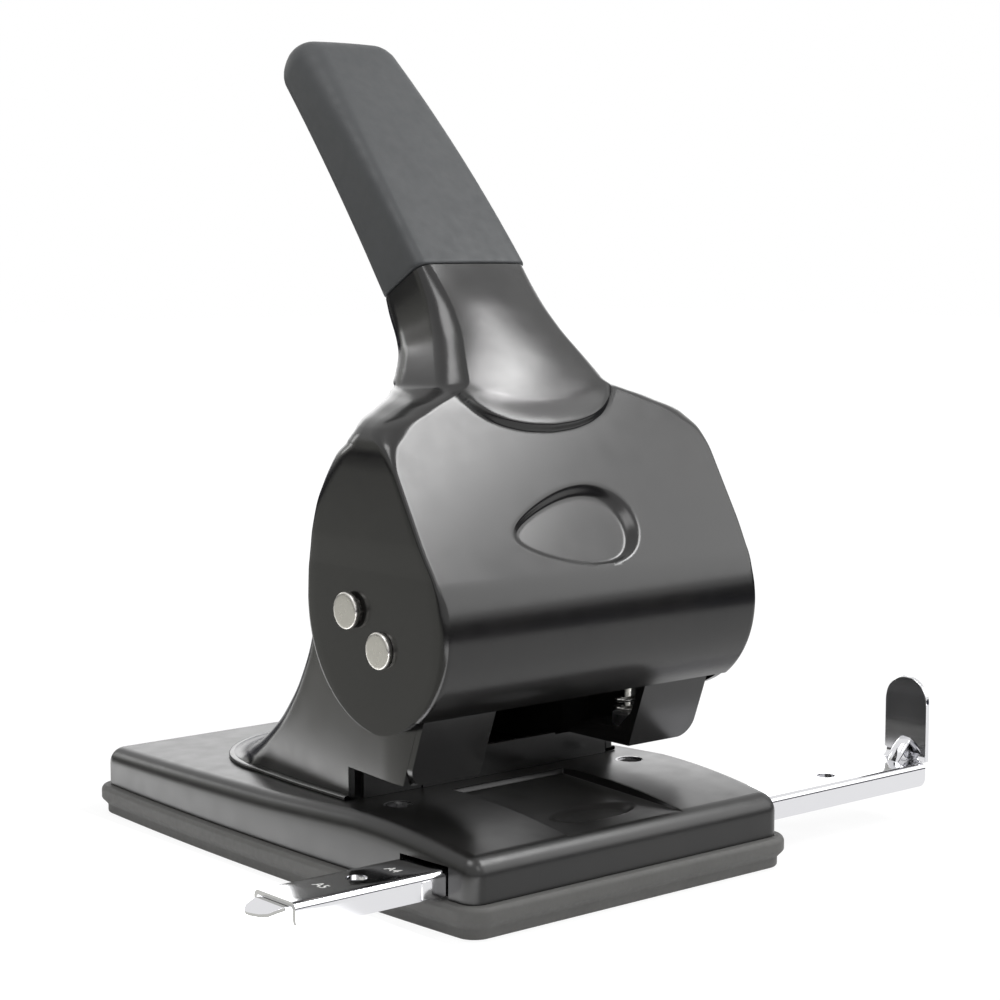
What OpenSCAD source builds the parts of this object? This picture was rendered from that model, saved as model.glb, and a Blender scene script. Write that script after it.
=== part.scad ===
// Manual two-hole desk punch: a tall lever shell turns on a sheet steel frame and drives two
// pins through paper laid on the base. A chip tray closes the base and a channel bar with an
// upright stop slides through it to set the sheet's edge.
// Millimetres. X to the right, Y to the rear, Z up from the tray's resting face.

/* [Paper and pins] */
// Distance between the two hole centres
hole_spacing = 80; // [76:0.5:82]
// Distance from a hole's centre to the edge of the sheet
hole_margin = 12; // [11:0.5:13]
// Diameter of a punch pin
pin_d = 6; // [5:0.1:6.4]
// Height of the gap that takes the paper
throat_gap = 8; // [7:0.5:9]
// Radial running clearance of pins and axles
running_gap = 0.05; // [0.02:0.01:0.1]

/* [Base] */
// Width of the base cover at its middle
base_w = 111; // [108:0.2:114]
// Depth of the base cover
base_d = 167.4; // [164:0.2:174]
// Distance of the hole line in front of the base's centre
hole_line = 39.3; // [38:0.1:41]
// Height of the table at the hole line
table_h = 22.8; // [22:0.1:24]
// Fall of the cover's top from the hole line to the base's middle
middle_drop = 1.8; // [1.4:0.1:2.2]
// Fall of the cover's top from the hole line to its rear edge
rear_drop = 3.9; // [3:0.1:4.6]
// Fall of the table from the hole line to its front edge
nose_drop = 4; // [3:0.2:5]
// Thickness of the cover sheet
cover_t = 1.5; // [1.2:0.1:1.8]
// Plan radius of the base's corners
corner_r = 4.6; // [4:0.2:6]
// Radius of the cover's top edge
edge_r = 4.4; // [3.6:0.2:4.5]
// Bow of the base's sides
side_bow = 2.8; // [1:0.2:4]
// Half width of the thumb recess in the table
recess_half = 19.3; // [17:0.1:22]
// Depth of the thumb recess at its rear
recess_deep = 1.4; // [1:0.1:2]

/* [Tray] */
// Height of the chip tray
tray_h = 8.2; // [7.4:0.1:8.6]
// How far the tray's rim stands out beyond the cover
rim_out = 2.6; // [2:0.2:4]
// Height of the rim band
rim_h = 3.8; // [3.4:0.1:4.4]
// Thickness of the tray's floor and walls
tray_t = 1.6; // [1.2:0.1:2.2]

/* [Frame] */
// Half width of the frame over its cheeks at the pivot
cheek_half = 48.4; // [47.6:0.1:48.8]
// Thickness of the frame sheet
cheek_t = 2; // [1.6:0.1:2.4]
// Inward slope of the cheeks behind the pivot, millimetres in each millimetre
toe_in = 0.117; // [0.09:0.005:0.13]
// Height of the pedestal's rear wall
rear_wall_top = 61; // [58:0.5:62]
// Inner half width of the gap between the two columns
column_gap = 25.6; // [24:0.2:28]

/* [Lever] */
// Distance of the pivot in front of the base's centre
pivot_front = 49.4; // [49:0.1:50]
// Height of the pivot
pivot_h = 64.9; // [64.5:0.1:66]
// Distance of the press axle from the pivot
press_reach = 14.7; // [14.5:0.1:15]
// Angle of the press axle behind the pivot, above level
press_angle = 35.9; // [35:0.1:37]
// Travel of the lever in degrees
lever_travel = 40; // [36:1:40]
// Half width of the lever shell
shell_half = 53.2; // [52.8:0.1:54]
// Thickness of the lever shell
shell_t = 2; // [1.6:0.1:2.2]
// Radius of the shell's drum
drum_r = 26.4; // [26:0.1:27]
// Diameter of the two axles
axle_d = 6.6; // [6:0.1:7]
// Diameter of the domed axle heads
head_d = 9.3; // [8.6:0.1:10]

/* [Grip] */
// Length of the grip along its front
grip_len = 86.5; // [80:0.5:90]
// Half width of the grip at its lower end
grip_half = 17.8; // [17:0.1:18.6]
// Half width of the grip near its top
grip_top_half = 16.5; // [15.5:0.1:17.4]
// Depth of the grip at its lower end
grip_deep = 19.4; // [18.6:0.1:20.4]
// Depth of the grip near its top
grip_top_deep = 15.8; // [15:0.1:17]

/* [Guide bar] */
// Length of the channel bar
bar_len = 221.7; // [210:0.1:228]
// Distance of the bar's right end from the base's middle
bar_right = 124.7; // [120:0.1:128]
// Width of the channel
bar_w = 16.6; // [15.6:0.2:17]
// Height of the channel
bar_h = 6.3; // [5.6:0.1:6.5]
// Depth of the channel's top below the table
bar_sink = 7.2; // [6.9:0.1:7.6]
// Thickness of the bar sheet
bar_t = 1.2; // [1:0.1:1.5]
// Distance of the bar's front face behind the base's front edge
bar_inset = 9; // [8.5:0.1:9.5]
// Height of the upright stop above the bar
stop_h = 24.1; // [20:0.1:28]

/* [Hidden] */
$fn = 64;
eps = 0.01;
seat = 0.05;          // gap between pieces that are bolted or pressed together

black = [0.09, 0.09, 0.10];
tray_grey = [0.38, 0.38, 0.36];
grip_grey = [0.30, 0.31, 0.32];
chrome = [0.80, 0.80, 0.82];
steel = [0.62, 0.62, 0.64];

half_base = base_w / 2;
base_front = -base_d / 2;
base_rear = base_d / 2;
pin_x = hole_spacing / 2;
pin_y = -hole_line;
stop_y = pin_y + hole_margin;
cover_foot = tray_h + 0.1;
bar_top = table_h - bar_sink;
bar_front = base_d / 2 - bar_inset;
throat_top = table_h + throat_gap + 0.1;

// ---- shared shapes -------------------------------------------------------------------

// A ring mirrors its right half across X = 0, front to rear and back again.
function ring_of(half) =
    concat(half, [for (i = [len(half) - 1 : -1 : 0]) [-half[i][0], half[i][1], half[i][2]]]);

// A closed skin over rings of equal count, flat strips closing the first and the last.
module skin(rings) {
    n = len(rings[0]);
    last = (len(rings) - 1) * n;
    points = [for (ring = rings) each ring];
    walls = [for (a = [0 : n : last - n], i = [0 : n - 1]) let (j = (i + 1) % n)
        each [[a + n + i, a + n + j, a + j], [a + n + i, a + j, a + i]]];
    first_cap = [for (i = [0 : n / 2 - 2])
        each [[i, i + 1, n - 2 - i], [i, n - 2 - i, n - 1 - i]]];
    last_cap = [for (f = first_cap) [f[2] + last, f[1] + last, f[0] + last]];
    polyhedron(points, concat(walls, first_cap, last_cap), convexity = 8);
}

// A profile drawn in Y and Z, extruded along X.
module along_x(x0, x1) {
    translate([x0, 0, 0]) rotate([90, 0, 90]) linear_extrude(x1 - x0) children();
}

module x_hole(y, z, d, half) {
    translate([-half, y, z]) rotate([0, 90, 0]) cylinder(d = d, h = 2 * half);
}

// ---- base ----------------------------------------------------------------------------

// Height of the cover's top along the base.
function table_z(y) =
    y > 0 ? table_h - middle_drop - (rear_drop - middle_drop) * y / base_rear
    : y > pin_y ? table_h - middle_drop * (y - pin_y) / hole_line
    : table_h - nose_drop * pow((pin_y - y) / (pin_y - base_front), 2);

side_stations = [-66, -55, pin_y, -20, 0, 25, 50];

function side_x(y) = half_base - side_bow * pow(y / base_rear, 2);

// Right half of the base's plan, drawn in by `inset`.
function base_half(inset) =
    let (r = corner_r - inset, yf = base_front + inset, yr = base_rear - inset,
         xf = side_x(base_front + corner_r) - corner_r,
         xr = side_x(base_rear - corner_r) - corner_r)
    concat(
        [for (b = [-90 : 18 : 0]) [xf + r * cos(b), yf + r + r * sin(b)]],
        [for (y = side_stations) [side_x(y) - inset, y]],
        [for (b = [0 : 18 : 90]) [xr + r * cos(b), yr - r + r * sin(b)]]);

function level_ring(inset, z) = ring_of([for (p = base_half(inset)) [p[0], p[1], z]]);

function table_ring(inset, drop) =
    ring_of([for (p = base_half(inset)) [p[0], p[1], table_z(p[1]) - drop]]);

bar_gap = 0.5;        // clearance of the bar in the side slots
slot_top = bar_top + 0.8;
die_hole_d = pin_d + 2.6;

// The thumb recess is a flat floor that runs out of the falling table near its front edge.
recess_back = pin_y + 4.5;
recess_front = base_front + 3.4;
recess_low = table_z(recess_front) - 0.1;
recess_high = table_z(recess_back) - recess_deep;
function recess_z(y) = recess_low
    + (recess_high - recess_low) * (y - recess_front) / (recess_back - recess_front);

module recess_profile(low, high) {
    polygon([[recess_front, recess_z(recess_front) + low], [recess_back, recess_z(recess_back) + low],
        [recess_back, recess_z(recess_back) + high], [recess_front, recess_z(recess_front) + high]]);
}

scoop_half_w = 14.2;
scoop_half_d = 6.2;
scoop_deep = 1.6;
scoop_y = base_front + 16;

// Column with an oval plan, `wider` than the thumb scoop.
module scoop(wider, below, h) {
    translate([0, scoop_y, recess_z(scoop_y) - below]) linear_extrude(h) polygon([for (b = [0 : 10 : 350])
        [(scoop_half_w + wider) * cos(b), (scoop_half_d + wider) * sin(b)]]);
}

module base_cover() {
    turns = [0 : 22.5 : 90];
    color(black) difference() {
        union() {
            difference() {
                skin(concat(
                    [table_ring(edge_r, cover_t)],
                    [table_ring(cover_t + 1, 2.6 + cover_t / 3)],
                    [table_ring(cover_t, edge_r)],
                    [level_ring(cover_t, cover_foot)],
                    [level_ring(0, cover_foot)],
                    [for (b = turns) table_ring(edge_r * (1 - cos(b)), edge_r * (1 - sin(b)))]));
                along_x(-recess_half, recess_half) recess_profile(0, 5);
            }
            // floor of the pressed recess and the bowl of its scoop
            along_x(-recess_half - cover_t / 2, recess_half + cover_t / 2) recess_profile(-cover_t, 0);
            scoop(cover_t, scoop_deep + cover_t, scoop_deep + cover_t);
        }
        scoop(0, scoop_deep, 6);
        for (s = [-1, 1]) {
            translate([s * pin_x, pin_y, table_h - 8]) cylinder(d = die_hole_d, h = 12);
            // slot for the guide bar, open at the bottom
            translate([s * half_base - 8, -bar_front - bar_gap, cover_foot - 1])
                cube([16, bar_w + 2 * bar_gap, slot_top - cover_foot + 1]);
        }
        for (p = screw_places) translate([p[0], p[1], 10]) cylinder(d = screw_d + 0.4, h = 20);
    }
}

rim_in = 4.4;         // width of the tray's rim inside the cover's edge
tray_out = 0.8;       // how far the tray's lower wall stands out beyond the cover
tray_foot = 0.5;      // chamfer round its foot

module chip_tray() {
    out = -rim_out;
    low = tray_h - rim_h;
    color(tray_grey) skin([
        level_ring(tray_foot - tray_out, 0),
        level_ring(-tray_out, tray_foot),
        level_ring(-tray_out, low - rim_out + tray_out),
        level_ring(out, low),
        level_ring(out, tray_h - 0.8),
        level_ring(out + 0.8, tray_h),
        level_ring(rim_in, tray_h),
        level_ring(rim_in, tray_h - tray_t),
        level_ring(tray_t, low - 0.8),
        level_ring(tray_t, tray_t)
    ]);
}

// ---- dies and paper stop -------------------------------------------------------------

plate_t = 3;
plate_top = table_z(stop_y) - cover_t - 0.1;
plate_half = pin_x + 5.2;
// reach of the plate in front of the hole line: part of the way to the bar's saddle
plate_front = 0.65 * (bar_front - bar_w - 2 - hole_line);
plate_rear = 10;      // and behind it
die_flange_d = 12;
die_flange_t = 2;
die_plate_hole = die_hole_d - 0.2;

module die_plate() {
    chip_w = 26;
    chip_rear = recess_back + 1.5;
    color(steel) difference() {
        translate([-plate_half, pin_y - plate_front, plate_top - plate_t])
            cube([2 * plate_half, plate_front + plate_rear, plate_t]);
        for (s = [-1, 1]) translate([s * pin_x, pin_y, plate_top - plate_t - 1])
            cylinder(d = die_plate_hole, h = plate_t + 2);
        // window under the thumb recess
        translate([-chip_w, pin_y - plate_front - 1, plate_top - plate_t - 1])
            cube([2 * chip_w, chip_rear - pin_y + plate_front + 1, plate_t + 2]);
    }
}

module die(s) {
    flange_z = plate_top - plate_t - seat - die_flange_t;
    color(steel) translate([s * pin_x, pin_y, 0]) difference() {
        union() {
            translate([0, 0, flange_z]) cylinder(d = die_flange_d, h = die_flange_t);
            translate([0, 0, flange_z]) cylinder(d = die_plate_hole - 2 * seat,
                h = table_h - flange_z - 0.05);
        }
        translate([0, 0, flange_z - 1]) cylinder(d = pin_d + 2 * running_gap, h = table_h);
        // cutting edge's small bevel
        translate([0, 0, table_h - 0.65]) cylinder(d1 = pin_d, d2 = pin_d + 1.6, h = 0.8);
    }
}
module left_die() { die(-1); }
module right_die() { die(1); }

stop_t = 1.5;
stop_half = cheek_half - cheek_t - 4.4;
stop_wing = 23;

module paper_stop() {
    foot_back = -16;
    rise = throat_top - 0.3;
    over = foot_t + foot_lift + 2 * seat;
    color(black) {
        // upright with a flange that lies on the pedestal's foot
        along_x(-stop_wing, stop_wing) polygon([
            [stop_y, table_z(stop_y) + seat], [stop_y + stop_t, table_z(stop_y) + seat],
            [stop_y + stop_t, table_z(stop_y) + over], [foot_back, table_z(foot_back) + over],
            [foot_back, table_z(foot_back) + over + 1.2],
            [stop_y + stop_t, table_z(stop_y) + over + 1.2], [stop_y + stop_t, rise],
            [stop_y, rise]]);
        for (s = [-1, 1]) along_x(s > 0 ? stop_wing - eps : -stop_half, s > 0 ? stop_half : -stop_wing + eps)
            polygon([
                [stop_y + 0.4, table_z(stop_y) + seat], [stop_y + stop_t, table_z(stop_y) + seat],
                [stop_y + stop_t, rise - 0.6], [stop_y + 0.4, rise - 0.6]]);
    }
}

// ---- frame ---------------------------------------------------------------------------

frame_front = stop_y + stop_t + 0.4;
foot_lift = 0.02;
foot_t = 2;
toe_start = -48;
pivot_y = -pivot_front;
pivot_z = pivot_h;
press_y = pivot_y + press_reach * cos(press_angle);
press_z = pivot_z + press_reach * sin(press_angle);
axle_slot = axle_d + 0.7;

function cheek_x(y) = cheek_half - toe_in * max(0, y - toe_start);

// Rear edge of the flat cheek and rear of the wall at a height: concave flare to the foot.
function cheek_back(z) = lookup(z, [[20, 23], [26.7, 21.8], [30.7, 15], [36, 7.2], [40, 3.6],
    [48.3, -2.5], [60.8, -9], [75, -12]]);
function wall_back(z) = lookup(z, [[20, 64], [21.5, 59.5], [24, 50], [28, 40], [33, 31], [40, 22],
    [48.3, 13.5], [60.8, 6], [75, 1]]);

// Right half of the pedestal's plan at a height, drawn in by `inset`.
function frame_half(z, inset, reach) =
    let (yc = cheek_back(z), xc = cheek_x(yc) - inset, d = wall_back(z) - yc - inset)
    concat(
        [[cheek_half - inset, -80 - reach], [cheek_half - inset, toe_start],
         [cheek_x(frame_front) - inset, frame_front], [xc, yc]],
        [for (b = [12 : 13 : 77]) [xc * cos(b), yc + d * sin(b)]],
        [[xc * cos(86), yc + d]]);

function frame_ring(z, inset, reach) =
    ring_of([for (p = frame_half(z, inset, reach)) [p[0], p[1], z]]);
// A ring that lies on the sloping table instead of at one height.
function foot_ring(z, inset, lift) =
    ring_of([for (p = frame_half(z, inset, 0)) [p[0], p[1], table_z(max(p[1], frame_front)) + lift]]);

flange_t = 1.3;
frame_levels = [25.4, 27.5, 30.7, 36, 42, 48.3, 55, 60.8, 74, 92];

// Side view of the frame: throat, cheek round the axles, rear wall.
module frame_side() {
    ear_r = 17;
    ear_y = -45.5;
    ear_z = 69.5;
    difference() {
        polygon(concat(
            [[frame_front, 15], [frame_front, throat_top], [column_back(throat_top), throat_top],
                [column_back(column_bend_z), column_bend_z], [column_back(60), 60]],
            [for (b = [200 : -15 : 50]) [ear_y + ear_r * cos(b), ear_z + ear_r * sin(b)]],
            [[ear_y + 21, ear_z + 8], [-14, 69], [-5, rear_wall_top], [80, rear_wall_top], [80, 15]]));
        // arc for the press axle about the pivot
        polygon(arc_slot(axle_slot / 2));
    }
}

// Round-ended arc about the pivot in which the press axle travels.
function arc_slot(r) =
    let (a0 = press_angle + 1, a1 = press_angle - lever_travel - 1)
    concat(
        [for (b = [a0 : 180 / 6 : a0 + 180]) [press_reach * cos(a0) + r * cos(b), press_reach * sin(a0)
            + r * sin(b)] + [pivot_y, pivot_z]],
        [for (b = [a0 : (a1 - a0) / 6 : a1]) (press_reach - r) * [cos(b), sin(b)] + [pivot_y, pivot_z]],
        [for (b = [a1 + 180 : 180 / 6 : a1 + 360]) press_reach * [cos(a1), sin(a1)]
            + r * [cos(b), sin(b)] + [pivot_y, pivot_z]],
        [for (b = [a1 : (a0 - a1) / 6 : a0]) (press_reach + r) * [cos(b), sin(b)] + [pivot_y, pivot_z]]);

screw_d = 4;
screw_places = [[-26, -12], [26, -12], [-20, 30], [20, 30]];

module frame_pedestal() {
    color(black) difference() {
        intersection() {
            difference() {
                skin(concat(
                    [foot_ring(20, -2.2, foot_lift), foot_ring(20, -2.2, flange_t),
                     foot_ring(20, 0, flange_t + 0.1), foot_ring(21.5, 0, flange_t + 1.1)],
                    [for (z = frame_levels) frame_ring(z, 0, 0)]));
                skin(concat(
                    [foot_ring(22, cheek_t, foot_t)],
                    [for (z = frame_levels) frame_ring(z + 0.8, cheek_t, 5)]));
            }
            along_x(-60, 60) frame_side();
        }
        x_hole(pivot_y, pivot_z, axle_d + 2 * running_gap, 60);
        for (p = screw_places) translate([p[0], p[1], 10]) cylinder(d = screw_d + 0.1, h = 20);
    }
}

column_t = 2;
column_lean = 20;
column_bend_z = throat_top + 18.5;
column_front = pin_y - 14.4;
column_top = 57;

function column_face(z) = column_front - tan(column_lean) * (min(z, column_bend_z) - throat_top);
function column_back(z) = column_face(z) + column_t + seat;

module column_front_face() {
    polygon([[column_face(throat_top), throat_top], [column_face(column_bend_z), column_bend_z],
        [column_face(column_bend_z), column_top], [column_face(column_bend_z) + column_t, column_top],
        [column_face(column_bend_z) + column_t, column_bend_z],
        [column_face(throat_top) + column_t, throat_top]]);
}

module column_cheek() {
    back = frame_front - 2;
    lip = 3.8;
    difference() {
        polygon([[column_face(throat_top), throat_top], [column_face(column_bend_z), column_bend_z],
            [column_face(column_bend_z), column_top], [back, column_top], [back, throat_top]]);
        // open window on the pin and its spring
        polygon([[back - 7.8, throat_top + lip], [column_face(throat_top) + 4.4, throat_top + lip + 0.5],
            [column_face(throat_top + 9) + 2.3, throat_top + 9.4],
            [column_face(throat_top + 15) + 2.4, throat_top + 15],
            [column_face(column_bend_z) + 3.2, column_top - 4], [back - 7.8, column_top - 4]]);
    }
}

module column(s) {
    inner = column_gap;
    outer = cheek_half;
    round_r = 5;
    floor_out = cheek_half - cheek_t - 0.2;
    foot_end = frame_front - 3;
    color(black) mirror([s < 0 ? 1 : 0, 0, 0]) difference() {
        union() {
            along_x(inner, inner + column_t) column_cheek();
            difference() {
                along_x(inner, outer) column_front_face();
                // rounded lower outer corner
                translate([outer - round_r, 0, throat_top + round_r]) rotate([90, 0, 0])
                    linear_extrude(2 * base_d, center = true) difference() {
                        translate([0, -2 * round_r]) square(2 * round_r);
                        circle(r = round_r);
                    }
            }
            // foot that holds the pin guide, cut to the cheek's slope
            translate([0, 0, throat_top]) linear_extrude(column_t) polygon([
                [inner, column_face(throat_top) + 1], [floor_out, column_face(throat_top) + 1],
                [floor_out, toe_start], [cheek_x(foot_end) - cheek_t - 0.2, foot_end],
                [inner, foot_end]]);
        }
        translate([pin_x, pin_y, throat_top - 1]) cylinder(d = guide_shank_d + 2 * seat, h = column_t + 2);
    }
}
module left_column() { column(-1); }
module right_column() { column(1); }

guide_shank_d = pin_d + 2.6;
guide_flange_d = pin_d + 4;
guide_rise = 3;
spring_foot = throat_top + column_t + guide_rise;

module pin_guide(s) {
    color(steel) translate([s * pin_x, pin_y, 0]) difference() {
        union() {
            translate([0, 0, throat_top]) cylinder(d = guide_shank_d, h = column_t + 1);
            translate([0, 0, throat_top + column_t + seat])
                cylinder(d = guide_flange_d, h = guide_rise - seat);
        }
        translate([0, 0, throat_top - 1]) cylinder(d = pin_d + 2 * running_gap, h = 12);
    }
}
module left_pin_guide() { pin_guide(-1); }
module right_pin_guide() { pin_guide(1); }

// ---- pins ----------------------------------------------------------------------------

pin_tip = throat_top + 0.6;
yoke_w = 7;
yoke_wall = 3.2;
yoke_play = 0.45;     // the lever's arc leaves the straight slot's middle by less than this
yoke_low = press_z - axle_d / 2 - yoke_play - yoke_wall;
clip_z = yoke_low - 3.2;
press_far = pivot_y + press_reach;

module pin(s) {
    slot_h = axle_d + 2 * yoke_play;
    front = press_y - axle_d / 2 - 0.5;
    rear = press_far + axle_d / 2 + 0.5;
    color(chrome) translate([s * pin_x, 0, 0]) difference() {
        union() {
            translate([0, pin_y, pin_tip]) cylinder(d = pin_d, h = yoke_low - pin_tip + 1);
            translate([-yoke_w / 2, front - 2.4, yoke_low])
                cube([yoke_w, rear - front + 4.8, slot_h + 2 * yoke_wall]);
        }
        // level slot for the press axle
        translate([-yoke_w, front + slot_h / 2, press_z - slot_h / 2])
            cube([2 * yoke_w, rear - front - slot_h, slot_h]);
        for (y = [front + slot_h / 2, rear - slot_h / 2])
            translate([-yoke_w, y, press_z]) rotate([0, 90, 0]) cylinder(d = slot_h, h = 2 * yoke_w);
        // hollow-ground cutting end
        translate([0, pin_y - pin_d, pin_tip - 2.6]) rotate([-90, 0, 0]) cylinder(r = 3.6, h = 2 * pin_d);
        // groove for the clip
        translate([0, pin_y, clip_z - 0.05]) difference() {
            cylinder(d = pin_d + 1, h = 1.2);
            translate([0, 0, -1]) cylinder(d = pin_d - 1.4, h = 4);
        }
    }
}
module left_pin() { pin(-1); }
module right_pin() { pin(1); }

clip_t = 1.1;

module pin_clip(s) {
    color(steel) translate([s * pin_x, pin_y, clip_z]) difference() {
        cylinder(d = guide_flange_d, h = clip_t);
        translate([0, 0, -1]) cylinder(d = pin_d - 1.3, h = clip_t + 2);
        translate([-1.4, 0, -1]) cube([2.8, guide_flange_d, clip_t + 2]);
    }
}
module left_pin_clip() { pin_clip(-1); }
module right_pin_clip() { pin_clip(1); }

spring_wire = 1.1;
spring_r = pin_d / 2 + 1.25;
spring_turns = 7;
spring_low = spring_foot + spring_wire / 2 + 0.15;
spring_high = clip_z - spring_wire / 2 - 0.15;
spring_steps = spring_turns * 8;

// Rise of the wire along a spring: close end turns, even pitch between them.
spring_end = 1.4 * spring_wire;
spring_free = spring_high - spring_low - 2 * spring_end;
function spring_z(t) = spring_low
    + (t < 1 ? spring_end * t
    : t > spring_turns - 1 ? spring_free + spring_end * (t - spring_turns + 2)
    : spring_end + spring_free * (t - 1) / (spring_turns - 2));

echo(least_gap_between_curls = min(spring_end, spring_free / (spring_turns - 2)) - spring_wire * sin(60));

module pin_spring(s) {
    n = 6;
    rings = [for (k = [0 : spring_steps]) let (t = k / 8, a = 360 * t)
        [for (i = [0 : n - 1]) let (b = 360 * i / n, r = spring_r + spring_wire / 2 * cos(b))
            [r * cos(a), r * sin(a), spring_z(t) + spring_wire / 2 * sin(b)]]];
    last = spring_steps * n;
    points = [for (ring = rings) each ring];
    walls = [for (a = [0 : n : last - n], i = [0 : n - 1]) let (j = (i + 1) % n)
        each [[a + i, a + j, a + n + j], [a + i, a + n + j, a + n + i]]];
    ends = [[for (i = [n - 1 : -1 : 0]) i], [for (i = [0 : n - 1]) last + i]];
    color(steel) translate([s * pin_x, pin_y, 0]) polyhedron(points, concat(walls, ends), convexity = 10);
}
module left_pin_spring() { pin_spring(-1); }
module right_pin_spring() { pin_spring(1); }

// ---- lever ---------------------------------------------------------------------------

drum_y = pivot_y + 1.7;
drum_z = pivot_z + 5;
hood_lean = 30;
neck_lean = 38;
neck_start = 126;
seam_tilt = 30;
seam_z = 158;         // height of the seam at the front of the neck
opening_top = 94;     // top of the opening in the shell's rear

tangent_y = drum_y - drum_r * cos(hood_lean);
tangent_z = drum_z + drum_r * sin(hood_lean);

// Front line of the shell: round the drum, up the sloping face, up the neck.
function shell_front(z) =
    z < tangent_z ? drum_y - sqrt(max(0, drum_r * drum_r - (z - drum_z) * (z - drum_z)))
    : z < neck_start ? tangent_y + (z - tangent_z) * tan(hood_lean)
    : tangent_y + (neck_start - tangent_z) * tan(hood_lean) + (z - neck_start) * tan(neck_lean);

// Rear line: a wider turn than the drum's, then forward under the shoulders and back to the neck.
rear_reach = drum_r + 3.7;
rear_z = drum_z + 5.1;
rear_line = [[rear_z, 0], [82, -0.2], [89, -1.8], [96, -3.1], [100, -3.9], [104, -5.2], [108, -6.5],
    [111.5, -8.1], [115, -11.9], [118, -14.3], [121, -11.2], [123.5, -7.8], [neck_start, -0.2]];
function shell_back(z) =
    z < rear_z ? drum_y + rear_reach * sqrt(max(0, 1 - pow((rear_z - z) / (rear_z - drum_z + drum_r), 2)))
    : drum_y + rear_reach + lookup(z, rear_line);

// Half width as a share of the way from the neck's to the drum's: square shoulders, then the neck.
shoulder_line = [[tangent_z, 1], [92, 1.018], [115, 1.018], [116.8, 1.01], [118.5, 0.961],
    [120.2, 0.869], [121.9, 0.742], [123.7, 0.606], [125.4, 0.456], [127.1, 0.325], [128.2, 0.267],
    [131.3, 0.208], [134.4, 0.161], [137.6, 0.117], [140.7, 0.078], [143.8, 0.05], [147, 0.025],
    [150, 0.011], [seam_z, 0]];
neck_half = grip_half - 0.6;
function shell_x(z) = neck_half + (shell_half - neck_half) * lookup(z, shoulder_line);

function blend(z, z0, z1) = min(1, max(0, (z - z0) / (z1 - z0)));

arc_n = 4;
// Right half of a rounded rectangle of half width w and depth d, front at 0.
function rounded_half(w, d, rf, rr) = concat(
    [for (k = [0 : arc_n]) let (b = -90 + 90 * k / arc_n) [w - rf + rf * cos(b), rf + rf * sin(b)]],
    [[w, (rf + d - rr) / 2]],
    [for (k = [0 : arc_n]) let (b = 90 * k / arc_n) [w - rr + rr * cos(b), d - rr + rr * sin(b)]]);

// A section from its front point, tilted back by `tilt`.
function section(yf, zf, tilt, w, d, rf, rr) =
    ring_of([for (p = rounded_half(w, d, rf, rr)) [p[0], yf + p[1] * cos(tilt), zf - p[1] * sin(tilt)]]);

function shell_tilt(z) = seam_tilt * blend(z, neck_start, seam_z);
// Depth of a section: between the two lines, then the grip's depth and a flare towards the hood.
neck_flare = [[neck_start, 9.5], [129, 11.6], [132, 10.5], [136, 8.8], [140, 7.4], [144, 6.1],
    [148, 5], [153, 3.4], [seam_z, 1]];
function shell_depth(z) =
    z <= neck_start ? shell_back(z) - shell_front(z) : grip_deep + lookup(z, neck_flare);

hood_levels = concat(
    [for (b = [15, 28, 42, 57, 73, 90, 105, 120]) drum_z - drum_r * cos(b)],
    [88, 92, 96, 100, 104, 108, 112, 115, 116.8, 118.5, 120.2, 121.9, 123.7, neck_start]);
neck_levels = [128.2, 131.3, 134.4, 137.6, 140.7, 143.8, 147, 150, 154, seam_z];

// Radius of a section's front corners and of its rear ones.
function front_round(z) = lookup(z, [[78, 2], [84, 1], [110, 1], [114, 3], [118, 6.5], [122, 7],
    [126, 5], [131, 2], [seam_z, 1.8]]);
function rear_round(z) = lookup(z, [[75, 2], [90, 2.5], [97, 3.5], [104, 6], [112, 10], [118, 11],
    [124, 11], [130, 9], [138, 7], [148, 5], [seam_z, 4]]);

function shell_ring(z) =
    section(shell_front(z), z, shell_tilt(z), shell_x(z), shell_depth(z), front_round(z), rear_round(z));

lip_z = 49;           // lower edge of the front wall
// Hollow at a height, which keeps the wall's thickness where the outside slopes.
function cavity_ring(z, front_cut, back_cut) =
    let (over = 1.5, w = min(shell_x(z), shell_x(z + over * blend(z, 112, 116))) - shell_t,
         d = min(shell_depth(z), shell_depth(z - over), shell_depth(z + over)) - front_cut - back_cut)
    section(shell_front(z) + front_cut, z, shell_tilt(z), w, d,
        max(0.8, front_round(z) - shell_t), max(0.8, rear_round(z) - shell_t));

wall_cut = shell_t / cos(hood_lean);

// Raised tongue down the front of the neck: its half width, and how far it stands out.
tongue_rise = 1.1;
tongue_line = [[115.4, 1.5], [115.9, 7], [117, 13], [118.6, 18], [121, 22], [124.6, 25.2], [127.7, 23.3],
    [132.6, 19.6], [137.5, 16.9], [142.5, 14.7], [148.2, 13.2], [seam_z, 12.9]];
function tongue_ring(z) =
    let (a = shell_tilt(z), w = lookup(z, tongue_line), out = tongue_rise * (1 - 0.9 * blend(z, 142, seam_z)))
    ring_of([for (p = [[0.3 * w, -1.3 * out], [0.65 * w, -out], [w - 0.6, -0.6 * out], [w, 0.6],
        [w - 0.6, 1.4]]) [p[0], shell_front(z) + p[1] * cos(a), z - p[1] * sin(a)]]);

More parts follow.
